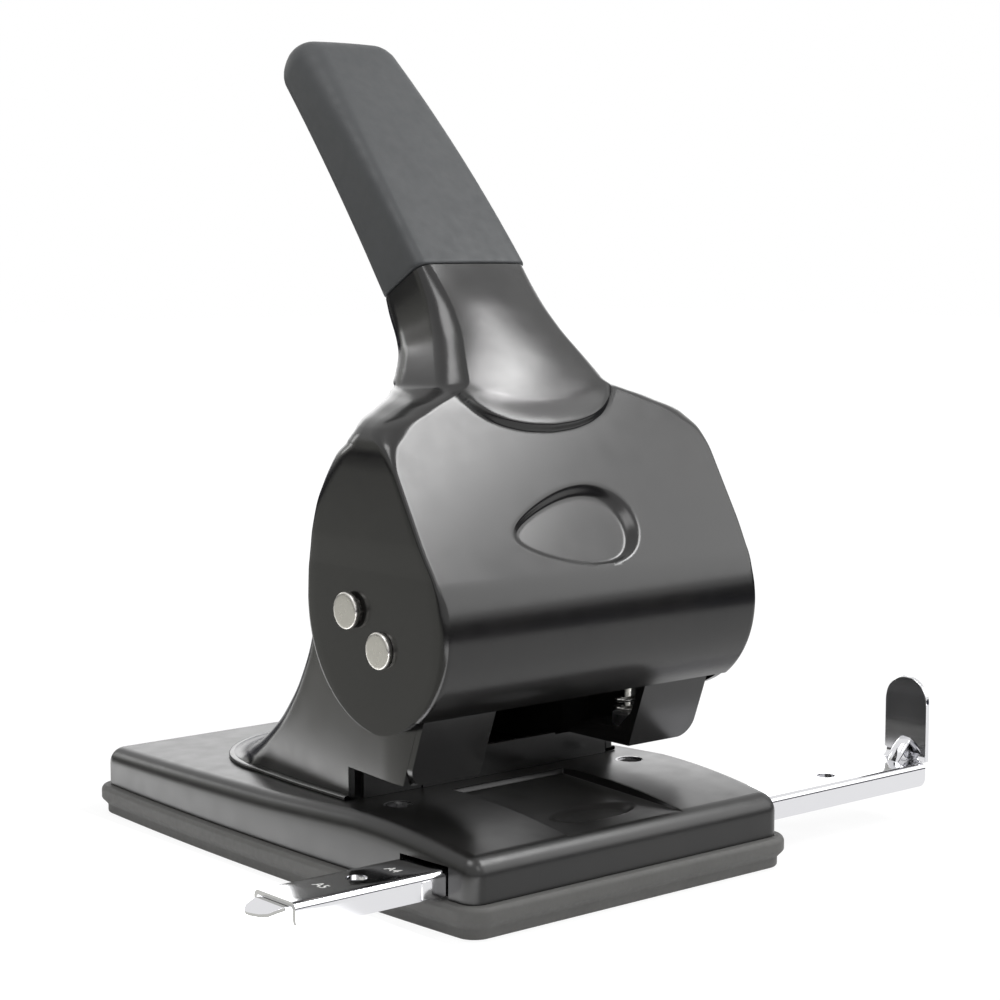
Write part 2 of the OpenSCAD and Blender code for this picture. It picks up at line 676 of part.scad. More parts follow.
module lever_shell() {
    open_back = -25;
    color(black) difference() {
        union() {
            skin([for (z = concat(hood_levels, neck_levels)) shell_ring(z)]);
            skin([for (p = tongue_line) tongue_ring(p[0])]);
        }
        // hollow inside, open below the lip and behind
        skin(concat(
            [section(-95, 40, 0, shell_half - shell_t, 110, 1.2, 1.2),
             section(-95, lip_z, 0, shell_half - shell_t, 110, 1.2, 1.2)],
            [for (z = [lip_z + eps, 55, 62, drum_z, 78, tangent_z, 88, opening_top])
                cavity_ring(z, wall_cut, open_back)],
            [for (z = [opening_top + eps, 98, 103, 108, 112, 115, 118, 120, 122, 124, neck_start, 129,
                133, 138, 143])
                cavity_ring(z, wall_cut, 1.2 * shell_t)]));
        x_hole(pivot_y, pivot_z, axle_d + 0.04, 60);
        x_hole(press_y, press_z, axle_d + 0.04, 60);
        // shallow egg-shaped dent in the sloping face, deepest at its upper right
        translate([-dent_left, dent_face_y, dent_face_z]) rotate([-hood_lean, 0, 0]) rotate([92, 0, 1.5])
            translate([0, 0, -shell_dent]) linear_extrude(6) polygon(egg(dent_half_w, dent_half_h));
        on_handle() core_solid(0.15);
    }
}

shell_dent = 0.95;
dent_half_w = 20.8;
dent_half_h = 10.4;
dent_left = 3.2;      // distance of the dent's middle to the left of the shell's
dent_face_z = 93;
dent_face_y = shell_front(dent_face_z);

// An egg outline, pointed to the left.
function egg(a, b) = [for (t = [0 : 15 : 345]) [a * cos(t), b * sin(t) * (1 + 0.08 * cos(t)) + 0.9 * cos(t)]];

// Place a child on the handle's axis: Z runs up the handle from the seam's middle.
seam_y = shell_front(seam_z);
module on_handle() {
    translate([0, seam_y + grip_deep / 2 * cos(seam_tilt), seam_z - grip_deep / 2 * sin(seam_tilt)])
        rotate([-40, 0, 0]) children();
}

core_w = 18;
core_t = 5;
core_in = 11;
core_up = 56;
module core_solid(gap) {
    translate([-core_w / 2 - gap, -core_t / 2 - gap, -core_in - gap])
        cube([core_w + 2 * gap, core_t + 2 * gap, core_in + core_up + 2 * gap]);
}
module handle_core() { color(steel) on_handle() core_solid(0); }

// The grip's front line is a wide arc whose lean grows towards the top.
lean_low = 39;
lean_high = 44.5;
grip_end = 8.6;
grip_run = grip_len - grip_end;
bend_r = grip_run / ((lean_high - lean_low) * PI / 180);
function grip_lean(s) = lean_low + (lean_high - lean_low) * min(1, s / grip_run);
function grip_y(s) = seam_y + bend_r * (cos(lean_low) - cos(grip_lean(s)))
    + max(0, s - grip_run) * sin(lean_high);
function grip_z(s) = seam_z + bend_r * (sin(grip_lean(s)) - sin(lean_low))
    + max(0, s - grip_run) * cos(lean_high);

function grip_section(s, drawn_in) =
    let (u = min(1, s / grip_run), a = grip_lean(s) - (lean_low - seam_tilt) * (1 - blend(s, 0, 16)),
         w = grip_half + (grip_top_half - grip_half) * u - drawn_in,
         d = grip_deep + (grip_top_deep - grip_deep) * u - 2 * drawn_in,
         rf = min(2, d / 2 - 0.1), rr = min(3.5, d / 2 - 0.1))
    section(grip_y(s) + drawn_in * cos(a), grip_z(s) - drawn_in * sin(a), a, w, d, rf, rr);

seam_gap = 0.3;

module grip() {
    round_in = 7.6;
    color(grip_grey) difference() {
        skin(concat(
            [grip_section(seam_gap, 0.5), grip_section(seam_gap + 0.7, 0)],
            [for (s = [8, 16, 30, 44, 58, grip_run]) grip_section(s, 0)],
            [for (b = [20 : 17.5 : 90])
                grip_section(grip_run + grip_end * sin(b), round_in * (1 - cos(b)))]));
        on_handle() core_solid(0.15);
    }
}

// ---- axles ---------------------------------------------------------------------------

module domed_head(stand) {
    cap = 1.1;
    dome_r = (pow(head_d / 2, 2) + cap * cap) / (2 * cap);
    rim = 0.5;
    translate([0, 0, stand]) {
        cylinder(d = head_d, h = rim);
        translate([0, 0, rim]) intersection() {
            cylinder(d = head_d, h = cap + 1);
            translate([0, 0, cap - dome_r]) sphere(r = dome_r);
        }
    }
}

module axle(y, z, stand) {
    half = shell_half + stand;
    color(chrome) {
        x_hole(y, z, axle_d, half + 0.3);
        for (s = [-1, 1]) translate([s * (shell_half + 0.02), y, z]) rotate([0, s * 90, 0])
            domed_head(stand);
    }
}
module pivot_axle() { axle(pivot_y, pivot_z, 0); }
module press_axle() { axle(press_y, press_z, 0.9); }

washer_gap = 0.2;
module axle_washers() {
    inner = cheek_half + washer_gap;
    outer = shell_half - shell_t - washer_gap;
    color("white") for (s = [-1, 1]) translate([s > 0 ? inner : -outer, pivot_y, pivot_z])
        rotate([0, 90, 0]) difference() {
            cylinder(d = 2 * axle_d, h = outer - inner);
            translate([0, 0, -1]) cylinder(d = axle_d + 0.2, h = outer - inner + 2);
        }
}

// ---- guide bar -----------------------------------------------------------------------

bar_left = bar_right - bar_len;
near_hole_in = 23.3;  // distance of the bar's left hole from its end
far_hole_in = 35.2;   // and of the right one
bar_hole_d = 4.4;
bar_sweep = 3;        // cut that sweeps the flanges up to the ends

module guide_bar() {
    low = bar_top - bar_h;
    color(chrome) difference() {
        translate([bar_left, -bar_front, low]) cube([bar_len, bar_w, bar_h]);
        translate([bar_left - 1, -bar_front + bar_t, low - 1]) cube([bar_len + 2, bar_w - 2 * bar_t,
            bar_h - bar_t + 1]);
        for (x = [bar_left + near_hole_in, bar_right - far_hole_in])
            translate([x, -bar_front + bar_w / 2, bar_top - 2 * bar_t])
                cylinder(d = bar_hole_d, h = 3 * bar_t);
        // flanges sweep up to the ends
        for (x = [bar_left, bar_right]) translate([x, -bar_front, low]) rotate([0, 45, 0])
            cube([bar_sweep * sqrt(2), 3 * bar_w, bar_sweep * sqrt(2)], center = true);
    }
}

module bar_tongue() {
    back = -bar_front + bar_w - 2.6;
    front = -bar_front + 2.6;
    top = bar_top - bar_t - seat;
    reach = 6;
    grip_in = 20;
    color(chrome) translate([0, 0, top - 1]) difference() {
        linear_extrude(1) polygon([[bar_left + grip_in, back], [bar_left - reach + 2, back],
            [bar_left - reach, back - 2.2], [bar_left - reach + 1.6, front + 2], [bar_left - reach + 4.6,
            front], [bar_left + grip_in, front]]);
        translate([bar_left - reach - 3, -bar_front, -0.9]) rotate([0, 24, 0])
            translate([-4, 0, -1]) cube([6, bar_w, 3]);
    }
}

stop_t_x = 1.6;
module end_stop() {
    mid = -bar_front + bar_w / 2;
    r = bar_w / 2 - 0.6;
    foot_in = 14;
    color(chrome) difference() {
        union() {
            // upright with a round top
            translate([bar_right - stop_t_x, mid, 0]) rotate([90, 0, 90]) linear_extrude(stop_t_x) {
                translate([-r, bar_top + seat]) square([2 * r, stop_h - r]);
                translate([0, bar_top + stop_h - r]) circle(r = r);
            }
            translate([bar_right - foot_in, mid - r, bar_top + seat]) cube([foot_in, 2 * r, 1.2]);
            // pressed rib that stiffens the bend
            translate([0, mid + 2, 0]) rotate([90, 0, 0]) linear_extrude(4) polygon([
                [bar_right - stop_t_x - 6, bar_top + 1], [bar_right - stop_t_x + 0.5, bar_top + 1],
                [bar_right - stop_t_x + 0.5, bar_top + 8.5]]);
        }
        translate([bar_right - stop_t_x - 2.6, mid + r - 2.4, bar_top + 1.5])
            rotate([0, 90, 0]) cylinder(r = 1.2, h = 10);
    }
}

guide_t = 1.5;
guide_half = 10;
// Saddle riveted under the table that carries the bar, open below.
module bar_guide() {
    side = 0.4;
    low = bar_top - bar_h;
    roof = bar_top + 1.2;
    color(steel) for (x = [-1, 1] * (recess_half + cover_t + guide_half + 1)) translate([x, 0, 0]) {
        difference() {
            translate([-guide_half, -bar_front - side - guide_t, low])
                cube([2 * guide_half, bar_w + 2 * (side + guide_t), roof + guide_t - low]);
            translate([-guide_half - 1, -bar_front - side, low - 1])
                cube([2 * guide_half + 2, bar_w + 2 * side, roof - low + 1]);
        }
    }
}

// Leaf spring between the saddle's roof and the bar, so that the bar stays where it is put.
module bar_spring() {
    color(steel) for (x = [-1, 1] * (recess_half + cover_t + guide_half + 1))
        translate([x, -bar_front + bar_w / 2 + 3, 0]) rotate([90, 0, 0]) linear_extrude(6)
            polygon([[-9, bar_top + 1.15], [-3, bar_top + 0.1], [3, bar_top + 0.1], [9, bar_top + 1.15],
                [9, bar_top + 0.75], [3.4, bar_top + 0.02], [-3.4, bar_top + 0.02], [-9, bar_top + 0.75]]);
}

// ---- fasteners -----------------------------------------------------------------------

module frame_screws() {
    head_h = 2.2;
    color(steel) for (p = screw_places) {
        top = table_z(p[1] + 4) - cover_t - 0.15;
        translate([p[0], p[1], top - head_h]) cylinder(d = 7.6, h = head_h);
        translate([p[0], p[1], top - eps]) cylinder(d = screw_d, h = cover_t + foot_t + 0.8);
    }
}

chip_tray();
base_cover();
die_plate();
left_die();
right_die();
paper_stop();
frame_pedestal();
left_column();
right_column();
left_pin_guide();
right_pin_guide();
left_pin();
right_pin();
left_pin_spring();
right_pin_spring();
left_pin_clip();
right_pin_clip();
pivot_axle();
press_axle();
axle_washers();
lever_shell();
handle_core();
grip();
guide_bar();
end_stop();
bar_tongue();
bar_guide();
bar_spring();
frame_screws();
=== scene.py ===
"""A manual two-hole desk punch, dressed piece by piece as it is put together on the bench.

Sizes are in millimetres, as on a maker's drawing, and every mesh is scaled to metres when it is made.
X runs to the right along the guide bar, Y to the rear and Z up from the surface that it stands on.
"""

from math import atan2, cos, hypot, pi, radians, sin, sqrt, tan

import bmesh
import bpy
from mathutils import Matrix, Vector


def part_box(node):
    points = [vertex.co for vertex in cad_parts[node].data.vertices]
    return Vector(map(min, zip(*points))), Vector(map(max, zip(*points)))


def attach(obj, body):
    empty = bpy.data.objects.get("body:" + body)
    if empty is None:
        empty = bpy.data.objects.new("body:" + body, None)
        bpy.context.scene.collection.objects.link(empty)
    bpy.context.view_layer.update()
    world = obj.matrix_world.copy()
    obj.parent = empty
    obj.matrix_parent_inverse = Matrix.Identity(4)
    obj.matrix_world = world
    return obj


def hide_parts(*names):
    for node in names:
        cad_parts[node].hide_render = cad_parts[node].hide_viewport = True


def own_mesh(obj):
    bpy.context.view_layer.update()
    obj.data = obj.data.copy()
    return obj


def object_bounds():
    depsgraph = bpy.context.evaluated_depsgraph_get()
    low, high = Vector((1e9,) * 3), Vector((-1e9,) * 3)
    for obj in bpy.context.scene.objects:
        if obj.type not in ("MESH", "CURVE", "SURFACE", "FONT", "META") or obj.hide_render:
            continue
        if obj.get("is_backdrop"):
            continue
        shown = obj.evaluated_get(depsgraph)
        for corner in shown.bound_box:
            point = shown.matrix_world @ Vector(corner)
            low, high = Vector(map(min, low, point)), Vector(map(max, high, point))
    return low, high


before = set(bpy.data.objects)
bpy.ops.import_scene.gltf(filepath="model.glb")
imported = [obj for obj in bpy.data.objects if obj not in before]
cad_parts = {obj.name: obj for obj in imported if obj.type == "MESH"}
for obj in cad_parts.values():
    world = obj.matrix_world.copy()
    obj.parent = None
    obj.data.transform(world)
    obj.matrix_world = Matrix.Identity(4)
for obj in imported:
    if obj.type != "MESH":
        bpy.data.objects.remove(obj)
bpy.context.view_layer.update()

MM = 0.001


# ---- the studio ----------------------------------------------------------------------
# The punch stands on a white table under large soft lamps. A dark wall and a pale card, which
# only shiny faces mirror, give the enamel and the plated bar their contrast. The camera is
# solved from the straight edges in the photograph.

link = bpy.context.scene.collection.objects.link
camera_data = bpy.data.cameras.new("camera")
camera_data.lens = 82.87
camera_data.sensor_width = 36
camera_data.clip_end = 20
camera = bpy.data.objects.new("camera", camera_data)
camera.location = (-0.3877, -0.4904, 0.1622)
camera.rotation_euler = Vector((0.64125, 0.75960, -0.10866)).to_track_quat("-Z", "Y").to_euler()
link(camera)
bpy.context.scene.camera = camera
bpy.context.scene.view_settings.view_transform = "Standard"

DIFFUSE_DAYLIGHT = 0.35


def seen_directly(tree):
    """1 for what the camera, a shiny face or glass sees, 0 for light that falls on something dull."""
    path = tree.nodes.new("ShaderNodeLightPath")
    seen = path.outputs["Is Camera Ray"]
    for ray in ("Is Glossy Ray", "Is Transmission Ray"):
        either = tree.nodes.new("ShaderNodeMath")
        either.operation = "MAXIMUM"
        tree.links.new(seen, either.inputs[0])
        tree.links.new(path.outputs[ray], either.inputs[1])
        seen = either.outputs[0]
    return seen


def ramp_value(tree, value, source, target):
    """Maps a value that runs from source[0] to source[1] onto the span of the target."""
    ramp = tree.nodes.new("ShaderNodeMapRange")
    for socket, number in zip(("From Min", "From Max", "To Min", "To Max"), (*source, *target)):
        ramp.inputs[socket].default_value = number
    tree.links.new(value, ramp.inputs["Value"])
    return ramp.outputs[0]


world = bpy.data.worlds.new("studio")
bpy.context.scene.world = world
world.use_nodes = True
sky = world.node_tree
sky.nodes["Background"].inputs["Color"].default_value = (1, 1, 1, 1)
strength = ramp_value(sky, seen_directly(sky), (0, 1), (DIFFUSE_DAYLIGHT, 1))
sky.links.new(strength, sky.nodes["Background"].inputs["Strength"])


LAMP_AIM = Vector((0, -0.03, 0.09))


def soft_lamp(name, direction, distance, width, height, radiance):
    """A rectangular lamp aimed at the punch, evenly bright over its face, with sizes in metres."""
    data = bpy.data.lights.new(name, "AREA")
    data.shape = "RECTANGLE"
    data.size = width
    data.size_y = height
    data.energy = radiance * pi * width * height
    lamp = bpy.data.objects.new(name, data)
    away = Vector(direction).normalized()
    lamp.location = LAMP_AIM + distance * away
    lamp.rotation_euler = (-away).to_track_quat("-Z", "Y").to_euler()
    link(lamp)


soft_lamp("key_lamp", (0.520, -0.477, 0.707), 1.20, 0.34, 0.26, 13.0)
soft_lamp("neck_lamp", (0.560, -0.290, 0.775), 1.20, 0.27, 0.26, 11.0)
soft_lamp("front_panel", (0.665, -0.62, 0.40), 1.30, 1.00, 0.56, 1.8)
soft_lamp("rear_panel", (0.58, 0.78, 0.20), 1.50, 1.15, 0.62, 1.4)
soft_lamp("left_lamp", (-0.25, 0.92, 0.30), 1.30, 0.20, 0.36, 4.0)
soft_lamp("top_lamp", (-0.386, -0.062, 0.925), 1.30, 0.55, 0.50, 6.0)
soft_lamp("near_lamp", (-0.07, -0.76, 0.64), 1.30, 0.28, 0.40, 4.5)


def set_piece(name, points, faces, finish_name):
    """A piece of the set, in metres, and the shader tree of its finish."""
    mesh = bpy.data.meshes.new(name)
    mesh.from_pydata(points, [], faces)
    finish = bpy.data.materials.new(finish_name)
    finish.use_nodes = True
    mesh.materials.append(finish)
    piece = bpy.data.objects.new(name, mesh)
    link(piece)
    return piece, finish.node_tree


FLOOR_HALF = 4
FLOOR_Z = -0.0002
floor_corners = [(FLOOR_HALF * x, FLOOR_HALF * y, FLOOR_Z) for x, y in ((-1, -1), (1, -1), (1, 1), (-1, 1))]
floor, table = set_piece("floor", floor_corners, [(0, 1, 2, 3)], "white_table")
table.nodes.clear()
matt_white = table.nodes.new("ShaderNodeBsdfDiffuse")
matt_white.inputs["Color"].default_value = (0.88, 0.88, 0.88, 1)
glow = table.nodes.new("ShaderNodeEmission")
glow.inputs["Color"].default_value = (1, 1, 1, 1)
# it glows most to the left of the base, which brightens what the bar's flange mirrors
floor_place = table.nodes.new("ShaderNodeTexCoord")
floor_split = table.nodes.new("ShaderNodeSeparateXYZ")
table.links.new(floor_place.outputs["Object"], floor_split.inputs[0])
floor_light = ramp_value(table, floor_split.outputs["X"], (-0.058, -0.070), (1.06, 4.0))
table.links.new(floor_light, glow.inputs["Strength"])
# near the punch its own glow gives way a little to the lamps, so that the punch casts a shade
floor_reach = table.nodes.new("ShaderNodeVectorMath")
floor_reach.operation = "LENGTH"
table.links.new(floor_place.outputs["Object"], floor_reach.inputs[0])
far_glow = ramp_value(table, floor_reach.outputs["Value"], (0.18, 0.45), (0.85, 1.0))
share = table.nodes.new("ShaderNodeMath")
share.operation = "MULTIPLY"
table.links.new(far_glow, share.inputs[1])
table.links.new(seen_directly(table), share.inputs[0])
table_mix = table.nodes.new("ShaderNodeMixShader")
table.links.new(share.outputs[0], table_mix.inputs[0])
table.links.new(matt_white.outputs[0], table_mix.inputs[1])
table.links.new(glow.outputs[0], table_mix.inputs[2])
table_out = table.nodes.new("ShaderNodeOutputMaterial")
table.links.new(table_mix.outputs[0], table_out.inputs["Surface"])
floor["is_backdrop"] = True


def only_mirrored(piece):
    """Leaves a piece of the set to shiny faces: the camera and dull faces miss it."""
    piece.visible_camera = False
    piece.visible_diffuse = False
    piece.visible_shadow = False


# a dark floor begins some way off and runs up into a low wall
ring_line = [(0.42, 0.001), (1.7, 0.001), (1.7, 0.25)]
ring_steps = 48
ring_points = []
ring_faces = []
for step in range(ring_steps):
    turn = 2 * pi * step / ring_steps
    ring_points += [(far * cos(turn), far * sin(turn), height) for far, height in ring_line]
    after = (step + 1) % ring_steps
    ring_faces += [(3 * step + k, 3 * after + k, 3 * after + k + 1, 3 * step + k + 1) for k in (0, 1)]
wall, wall_tree = set_piece("dark_surround", ring_points, ring_faces, "dark_felt")
only_mirrored(wall)
felt = wall_tree.nodes["Principled BSDF"]
felt.inputs["Base Color"].default_value = (0.03, 0.03, 0.05, 1)
felt.inputs["Roughness"].default_value = 1.0
felt.inputs["Specular IOR Level"].default_value = 0.0
wall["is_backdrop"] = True

# a pale card begins a little to the left of the base and turns up on its two far sides
CARD_RIGHT = -0.095
CARD_FRONT = -0.2
CARD_FAR = 1.8
CARD_Z = 0.002
CARD_TOP = 0.90
card_points = [
    (-CARD_FAR, CARD_FRONT, CARD_Z), (CARD_RIGHT, CARD_FRONT, CARD_Z), (CARD_RIGHT, CARD_FAR, CARD_Z),
    (-CARD_FAR, CARD_FAR, CARD_Z), (-CARD_FAR, CARD_FAR, CARD_TOP), (-CARD_FAR, CARD_FRONT, CARD_TOP),
    (CARD_RIGHT, CARD_FAR, CARD_TOP),
]
card, card_tree = set_piece("grey_card", card_points, [(0, 1, 2, 3), (0, 3, 4, 5), (3, 2, 6, 4)], "grey_card")
only_mirrored(card)
paper = card_tree.nodes["Principled BSDF"]
paper.inputs["Base Color"].default_value = (0, 0, 0, 1)
paper.inputs["Emission Color"].default_value = (1, 1, 0.93, 1)
paper.inputs["Emission Strength"].default_value = 0.6
card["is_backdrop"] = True


# ---- chip tray -----------------------------------------------------------------------
# A moulded tray in warm grey plastic closes the base and catches the chips. Its rim band
# stands out round the foot of the cover, and it is clipped on, so it has no screws.

def box_mm(node):
    """The two corners of a piece of the frame, in millimetres."""
    low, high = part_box(node)
    return low / MM, high / MM


def lookup(x, table):
    """A smooth curve through a short table, which never overshoots its points."""
    if x <= table[0][0]:
        return table[0][1]
    if x >= table[-1][0]:
        return table[-1][1]
    slopes = [(b[1] - a[1]) / (b[0] - a[0]) for a, b in zip(table, table[1:])]
    tangents = [slopes[0]]
    for before, after in zip(slopes, slopes[1:]):
        tangents.append(0 if before * after <= 0 else 2 * before * after / (before + after))
    tangents.append(slopes[-1])
    for k in range(len(table) - 1):
        (x0, y0), (x1, y1) = table[k], table[k + 1]
        if x <= x1:
            span = x1 - x0
            t = (x - x0) / span
            return (
                y0 * (2 * t**3 - 3 * t**2 + 1) + y1 * (3 * t**2 - 2 * t**3)
                + span * (tangents[k] * (t**3 - 2 * t**2 + t) + tangents[k + 1] * (t**3 - t**2))
            )


def arc(cx, cy, radius, start, end, steps):
    """Points on an arc, in degrees, both ends included."""
    turns = [radians(start + (end - start) * k / steps) for k in range(steps + 1)]
    return [(cx + radius * cos(a), cy + radius * sin(a)) for a in turns]


def rounded_line(corners, radius, steps):
    """A line through corners, each turned off to an arc-like curve that starts radius before it."""
    line = [corners[0]]
    for before, corner, after in zip(corners, corners[1:], corners[2:]):
        start = Vector(before) - Vector(corner)
        end = Vector(after) - Vector(corner)
        reach = min(radius, 0.45 * start.length, 0.45 * end.length)
        a = Vector(corner) + start.normalized() * reach
        b = Vector(corner) + end.normalized() * reach
        for k in range(steps + 1):
            t = k / steps
            line.append(tuple((1 - t) ** 2 * a + 2 * t * (1 - t) * Vector(corner) + t * t * b))
    line.append(corners[-1])
    return line


def make_piece(name, points, faces, finish, crease=None):
    """A smooth mesh object from points in millimetres, with edges sharper than crease kept crisp."""
    mesh = bpy.data.meshes.new(name)
    mesh.from_pydata([Vector(p) * MM for p in points], [], faces)
    build = bmesh.new()
    build.from_mesh(mesh)
    bmesh.ops.remove_doubles(build, verts=build.verts, dist=1e-7)
    bmesh.ops.delete(build, geom=[v for v in build.verts if not v.link_faces], context="VERTS")
    bmesh.ops.recalc_face_normals(build, faces=build.faces)
    build.to_mesh(mesh)
    build.free()
    mesh.shade_smooth()
    if crease:
        mesh.set_sharp_from_angle(angle=radians(crease))
    mesh.materials.append(finish)
    piece = bpy.data.objects.new(name, mesh)
    link(piece)
    return piece


def grid_faces(rows, columns, closed=False, keep=None):
    """Quads between rows of points. keep(row, column) may leave some out."""
    around = columns if closed else columns - 1
    faces = []
    for r in range(rows - 1):
        for c in range(around):
            if keep is None or keep(r, c):
                d = (c + 1) % columns
                faces.append((r * columns + c, r * columns + d, (r + 1) * columns + d, (r + 1) * columns + c))
    return faces


def closed_faces(rows, around):
    """Quads between closed rows of points, with a flat end on the first row and on the last."""
    ends = [tuple(range(around)), tuple(range((rows - 1) * around, rows * around))]
    return grid_faces(rows, around, closed=True) + ends


def strip_cap(first, count):
    """Quads across a ring whose second half mirrors its first half."""
    return [
        (first + k, first + k + 1, first + count - 2 - k, first + count - 1 - k)
        for k in range(count // 2 - 1)
    ]


def settle(piece, crease):
    """Turns the piece's modifiers into mesh, and keeps edges sharper than crease degrees crisp."""
    made = bpy.data.meshes.new_from_object(piece.evaluated_get(bpy.context.evaluated_depsgraph_get()))
    piece.modifiers.clear()
    old = piece.data
    piece.data = made
    bpy.data.meshes.remove(old)
    made.shade_smooth()
    made.set_sharp_from_angle(angle=radians(crease))


def thicken(piece, thickness):
    """Gives a sheet its thickness, laid on under its outer face."""
    sheet = piece.modifiers.new("sheet", "SOLIDIFY")
    sheet.thickness = thickness * MM
    sheet.offset = -1
    sheet.use_even_offset = True
    sheet.use_quality_normals = True


def round_edges(piece, radius, steps, angle=30):
    """Breaks the piece's sharp edges by a small radius."""
    edge = piece.modifiers.new("edge", "BEVEL")
    edge.width = radius * MM
    edge.segments = steps
    edge.limit_method = "ANGLE"
    edge.angle_limit = radians(angle)
    edge.use_clamp_overlap = True
    shade = piece.modifiers.new("shade", "WEIGHTED_NORMAL")
    shade.keep_sharp = True


def new_finish(name, colour, metallic, roughness, specular=0.5):
    """A plain surface finish, to which the functions below add detail."""
    finish = bpy.data.materials.new(name)
    finish.use_nodes = True
    shader = finish.node_tree.nodes["Principled BSDF"]
    shader.inputs["Base Color"].default_value = (*colour, 1)
    shader.inputs["Metallic"].default_value = metallic
    shader.inputs["Roughness"].default_value = roughness
    shader.inputs["Specular IOR Level"].default_value = specular
    return finish


def speckle(finish, size, detail=2.0, stretch=(1, 1, 1)):
    """A cloudy pattern whose grains are about size millimetres across."""
    tree = finish.node_tree
    place = tree.nodes.new("ShaderNodeTexCoord")
    scaled = tree.nodes.new("ShaderNodeMapping")
    scaled.inputs["Scale"].default_value = stretch
    tree.links.new(place.outputs["Object"], scaled.inputs["Vector"])
    cloud = tree.nodes.new("ShaderNodeTexNoise")
    cloud.inputs["Scale"].default_value = 1 / (size * MM)
    cloud.inputs["Detail"].default_value = detail
    tree.links.new(scaled.outputs[0], cloud.inputs["Vector"])
    return cloud.outputs["Fac"]


PATTERN_SPAN = (0.3, 0.7)


def vary(finish, pattern, low, high):
    """Lets a pattern move the roughness between low and high."""
    tree = finish.node_tree
    roughness = ramp_value(tree, pattern, PATTERN_SPAN, (low, high))
    tree.links.new(roughness, tree.nodes["Principled BSDF"].inputs["Roughness"])


def tint(finish, pattern, dark, light):
    """Lets a pattern move the colour between two shades."""
    tree = finish.node_tree
    ramp = tree.nodes.new("ShaderNodeValToRGB")
    for end, position, shade in zip(ramp.color_ramp.elements, PATTERN_SPAN, (dark, light)):
        end.position = position
        end.color = (*shade, 1)
    tree.links.new(pattern, ramp.inputs["Fac"])
    tree.links.new(ramp.outputs["Color"], tree.nodes["Principled BSDF"].inputs["Base Color"])


def emboss(finish, pattern, height, onto=None):
    """Raises the surface by height millimetres where the pattern is light."""
    tree = finish.node_tree
    bump = tree.nodes.new("ShaderNodeBump")
    bump.inputs["Distance"].default_value = height * MM
    bump.inputs["Strength"].default_value = 1.0
    tree.links.new(pattern, bump.inputs["Height"])
    if onto is not None:
        tree.links.new(onto, bump.inputs["Normal"])
    tree.links.new(bump.outputs[0], tree.nodes["Principled BSDF"].inputs["Normal"])
    return bump.outputs[0]


# moulded plastic: spark-eroded grain with slight flow shades
tray_plastic = new_finish("tray_plastic", (0.105, 0.104, 0.100), 0, 0.58, 0.4)
tint(tray_plastic, speckle(tray_plastic, 14, 3), (0.098, 0.097, 0.093), (0.112, 0.111, 0.107))
vary(tray_plastic, speckle(tray_plastic, 1.2), 0.56, 0.70)
emboss(tray_plastic, speckle(tray_plastic, 0.35, 3), 0.035)

cover_low, cover_high = box_mm("base_cover")
tray_high = box_mm("chip_tray")[1]
half_width = cover_high.x
base_front = cover_low.y
base_rear = cover_high.y
SIDE_BOW = 2.8
CORNER = 4.6
SLOT_FRONT = base_front + 8.5
SLOT_REAR = base_front + 26.1


def side_x(y):
    """Half the base's width: its long sides bow out towards the middle."""
    return half_width - SIDE_BOW * (y / base_rear) ** 2


# the mesh has its closest columns and rows along the edges of the cover's thumb recess
RECESS_COLUMN = 20.4
OUTER_SPAN = 22
front_columns = [0.25 + 0.5 * k for k in range(32)]
front_columns += [16.2, 17, 18, 18.6, 18.9, 19.1, 19.3, 19.5, 19.8, RECESS_COLUMN, 22, 25, 30, 36]
side_rows = [base_front + 5 + 0.45 * k for k in range(48)]
side_rows += [-56.8, -54, -51, -48, -45, -42, -39.5, -37.5, -36.2, -35.4, -35.1, -34.9, -34.7, -34.4, -33.8]
side_rows += [-32 + 3 * k for k in range(37)]


def spread(x, end):
    """Moves the outer columns of a row so that they fill it up to its end."""
    if x < RECESS_COLUMN:
        return x
    return RECESS_COLUMN + (x - RECESS_COLUMN) * (end - RECESS_COLUMN) / OUTER_SPAN


def base_half(inset):
    """Right half of the base's plan from the middle of its front to the middle of its rear."""
    radius = CORNER - inset
    front_x = side_x(base_front + CORNER) - CORNER
    columns = [spread(x, front_x) for x in front_columns]
    points = [(x, base_front + inset) for x in columns]
    points += arc(front_x, base_front + CORNER, radius, -90, 0, 10)
    points += [(side_x(y) - inset, y) for y in side_rows if base_front + CORNER < y < base_rear - CORNER]
    points += arc(front_x, base_rear - CORNER, radius, 0, 90, 10)
    points += [(x, base_rear - inset) for x in reversed(columns)]
    return points


def mirrored(half):
    """A half line of points, and then its mirror image from its end to its start."""
    return half + [(-p[0],) + tuple(p[1:]) for p in reversed(half)]


rim_out = tray_high.x - cover_high.x
tray_top = tray_high.z
tray_wall = [
    (2.4, 0.0), (-0.35, 0.0), (-0.8, 0.5), (-0.8, 2.6), (-rim_out + 0.3, 4.15), (-rim_out, 4.6),
    (-rim_out, 7.2), (-rim_out + 0.75, tray_top), (4.3, tray_top), (4.3, tray_top - 1.6), (2.4, 4.0),
    (1.8, 2.2), (2.2, 1.6),
]
tray_line = rounded_line(tray_wall, 0.5, 4)
tray_points = [(x, y, z) for inset, z in tray_line for x, y in mirrored(base_half(inset))]
ring = len(tray_points) // len(tray_line)
tray_faces = grid_faces(len(tray_line), ring, closed=True)
tray_faces += strip_cap(0, ring) + strip_cap((len(tray_line) - 1) * ring, ring)
tray = make_piece("moulded_chip_tray", tray_points, tray_faces, tray_plastic, 55)
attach(tray, "tray")
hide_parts("chip_tray")


# ---- base cover ----------------------------------------------------------------------
# A pressed steel cover, stove-enamelled black. The table falls away to the front, a flat
# thumb recess runs out of its front edge, and a scoop in the recess lifts a sheet's edge.

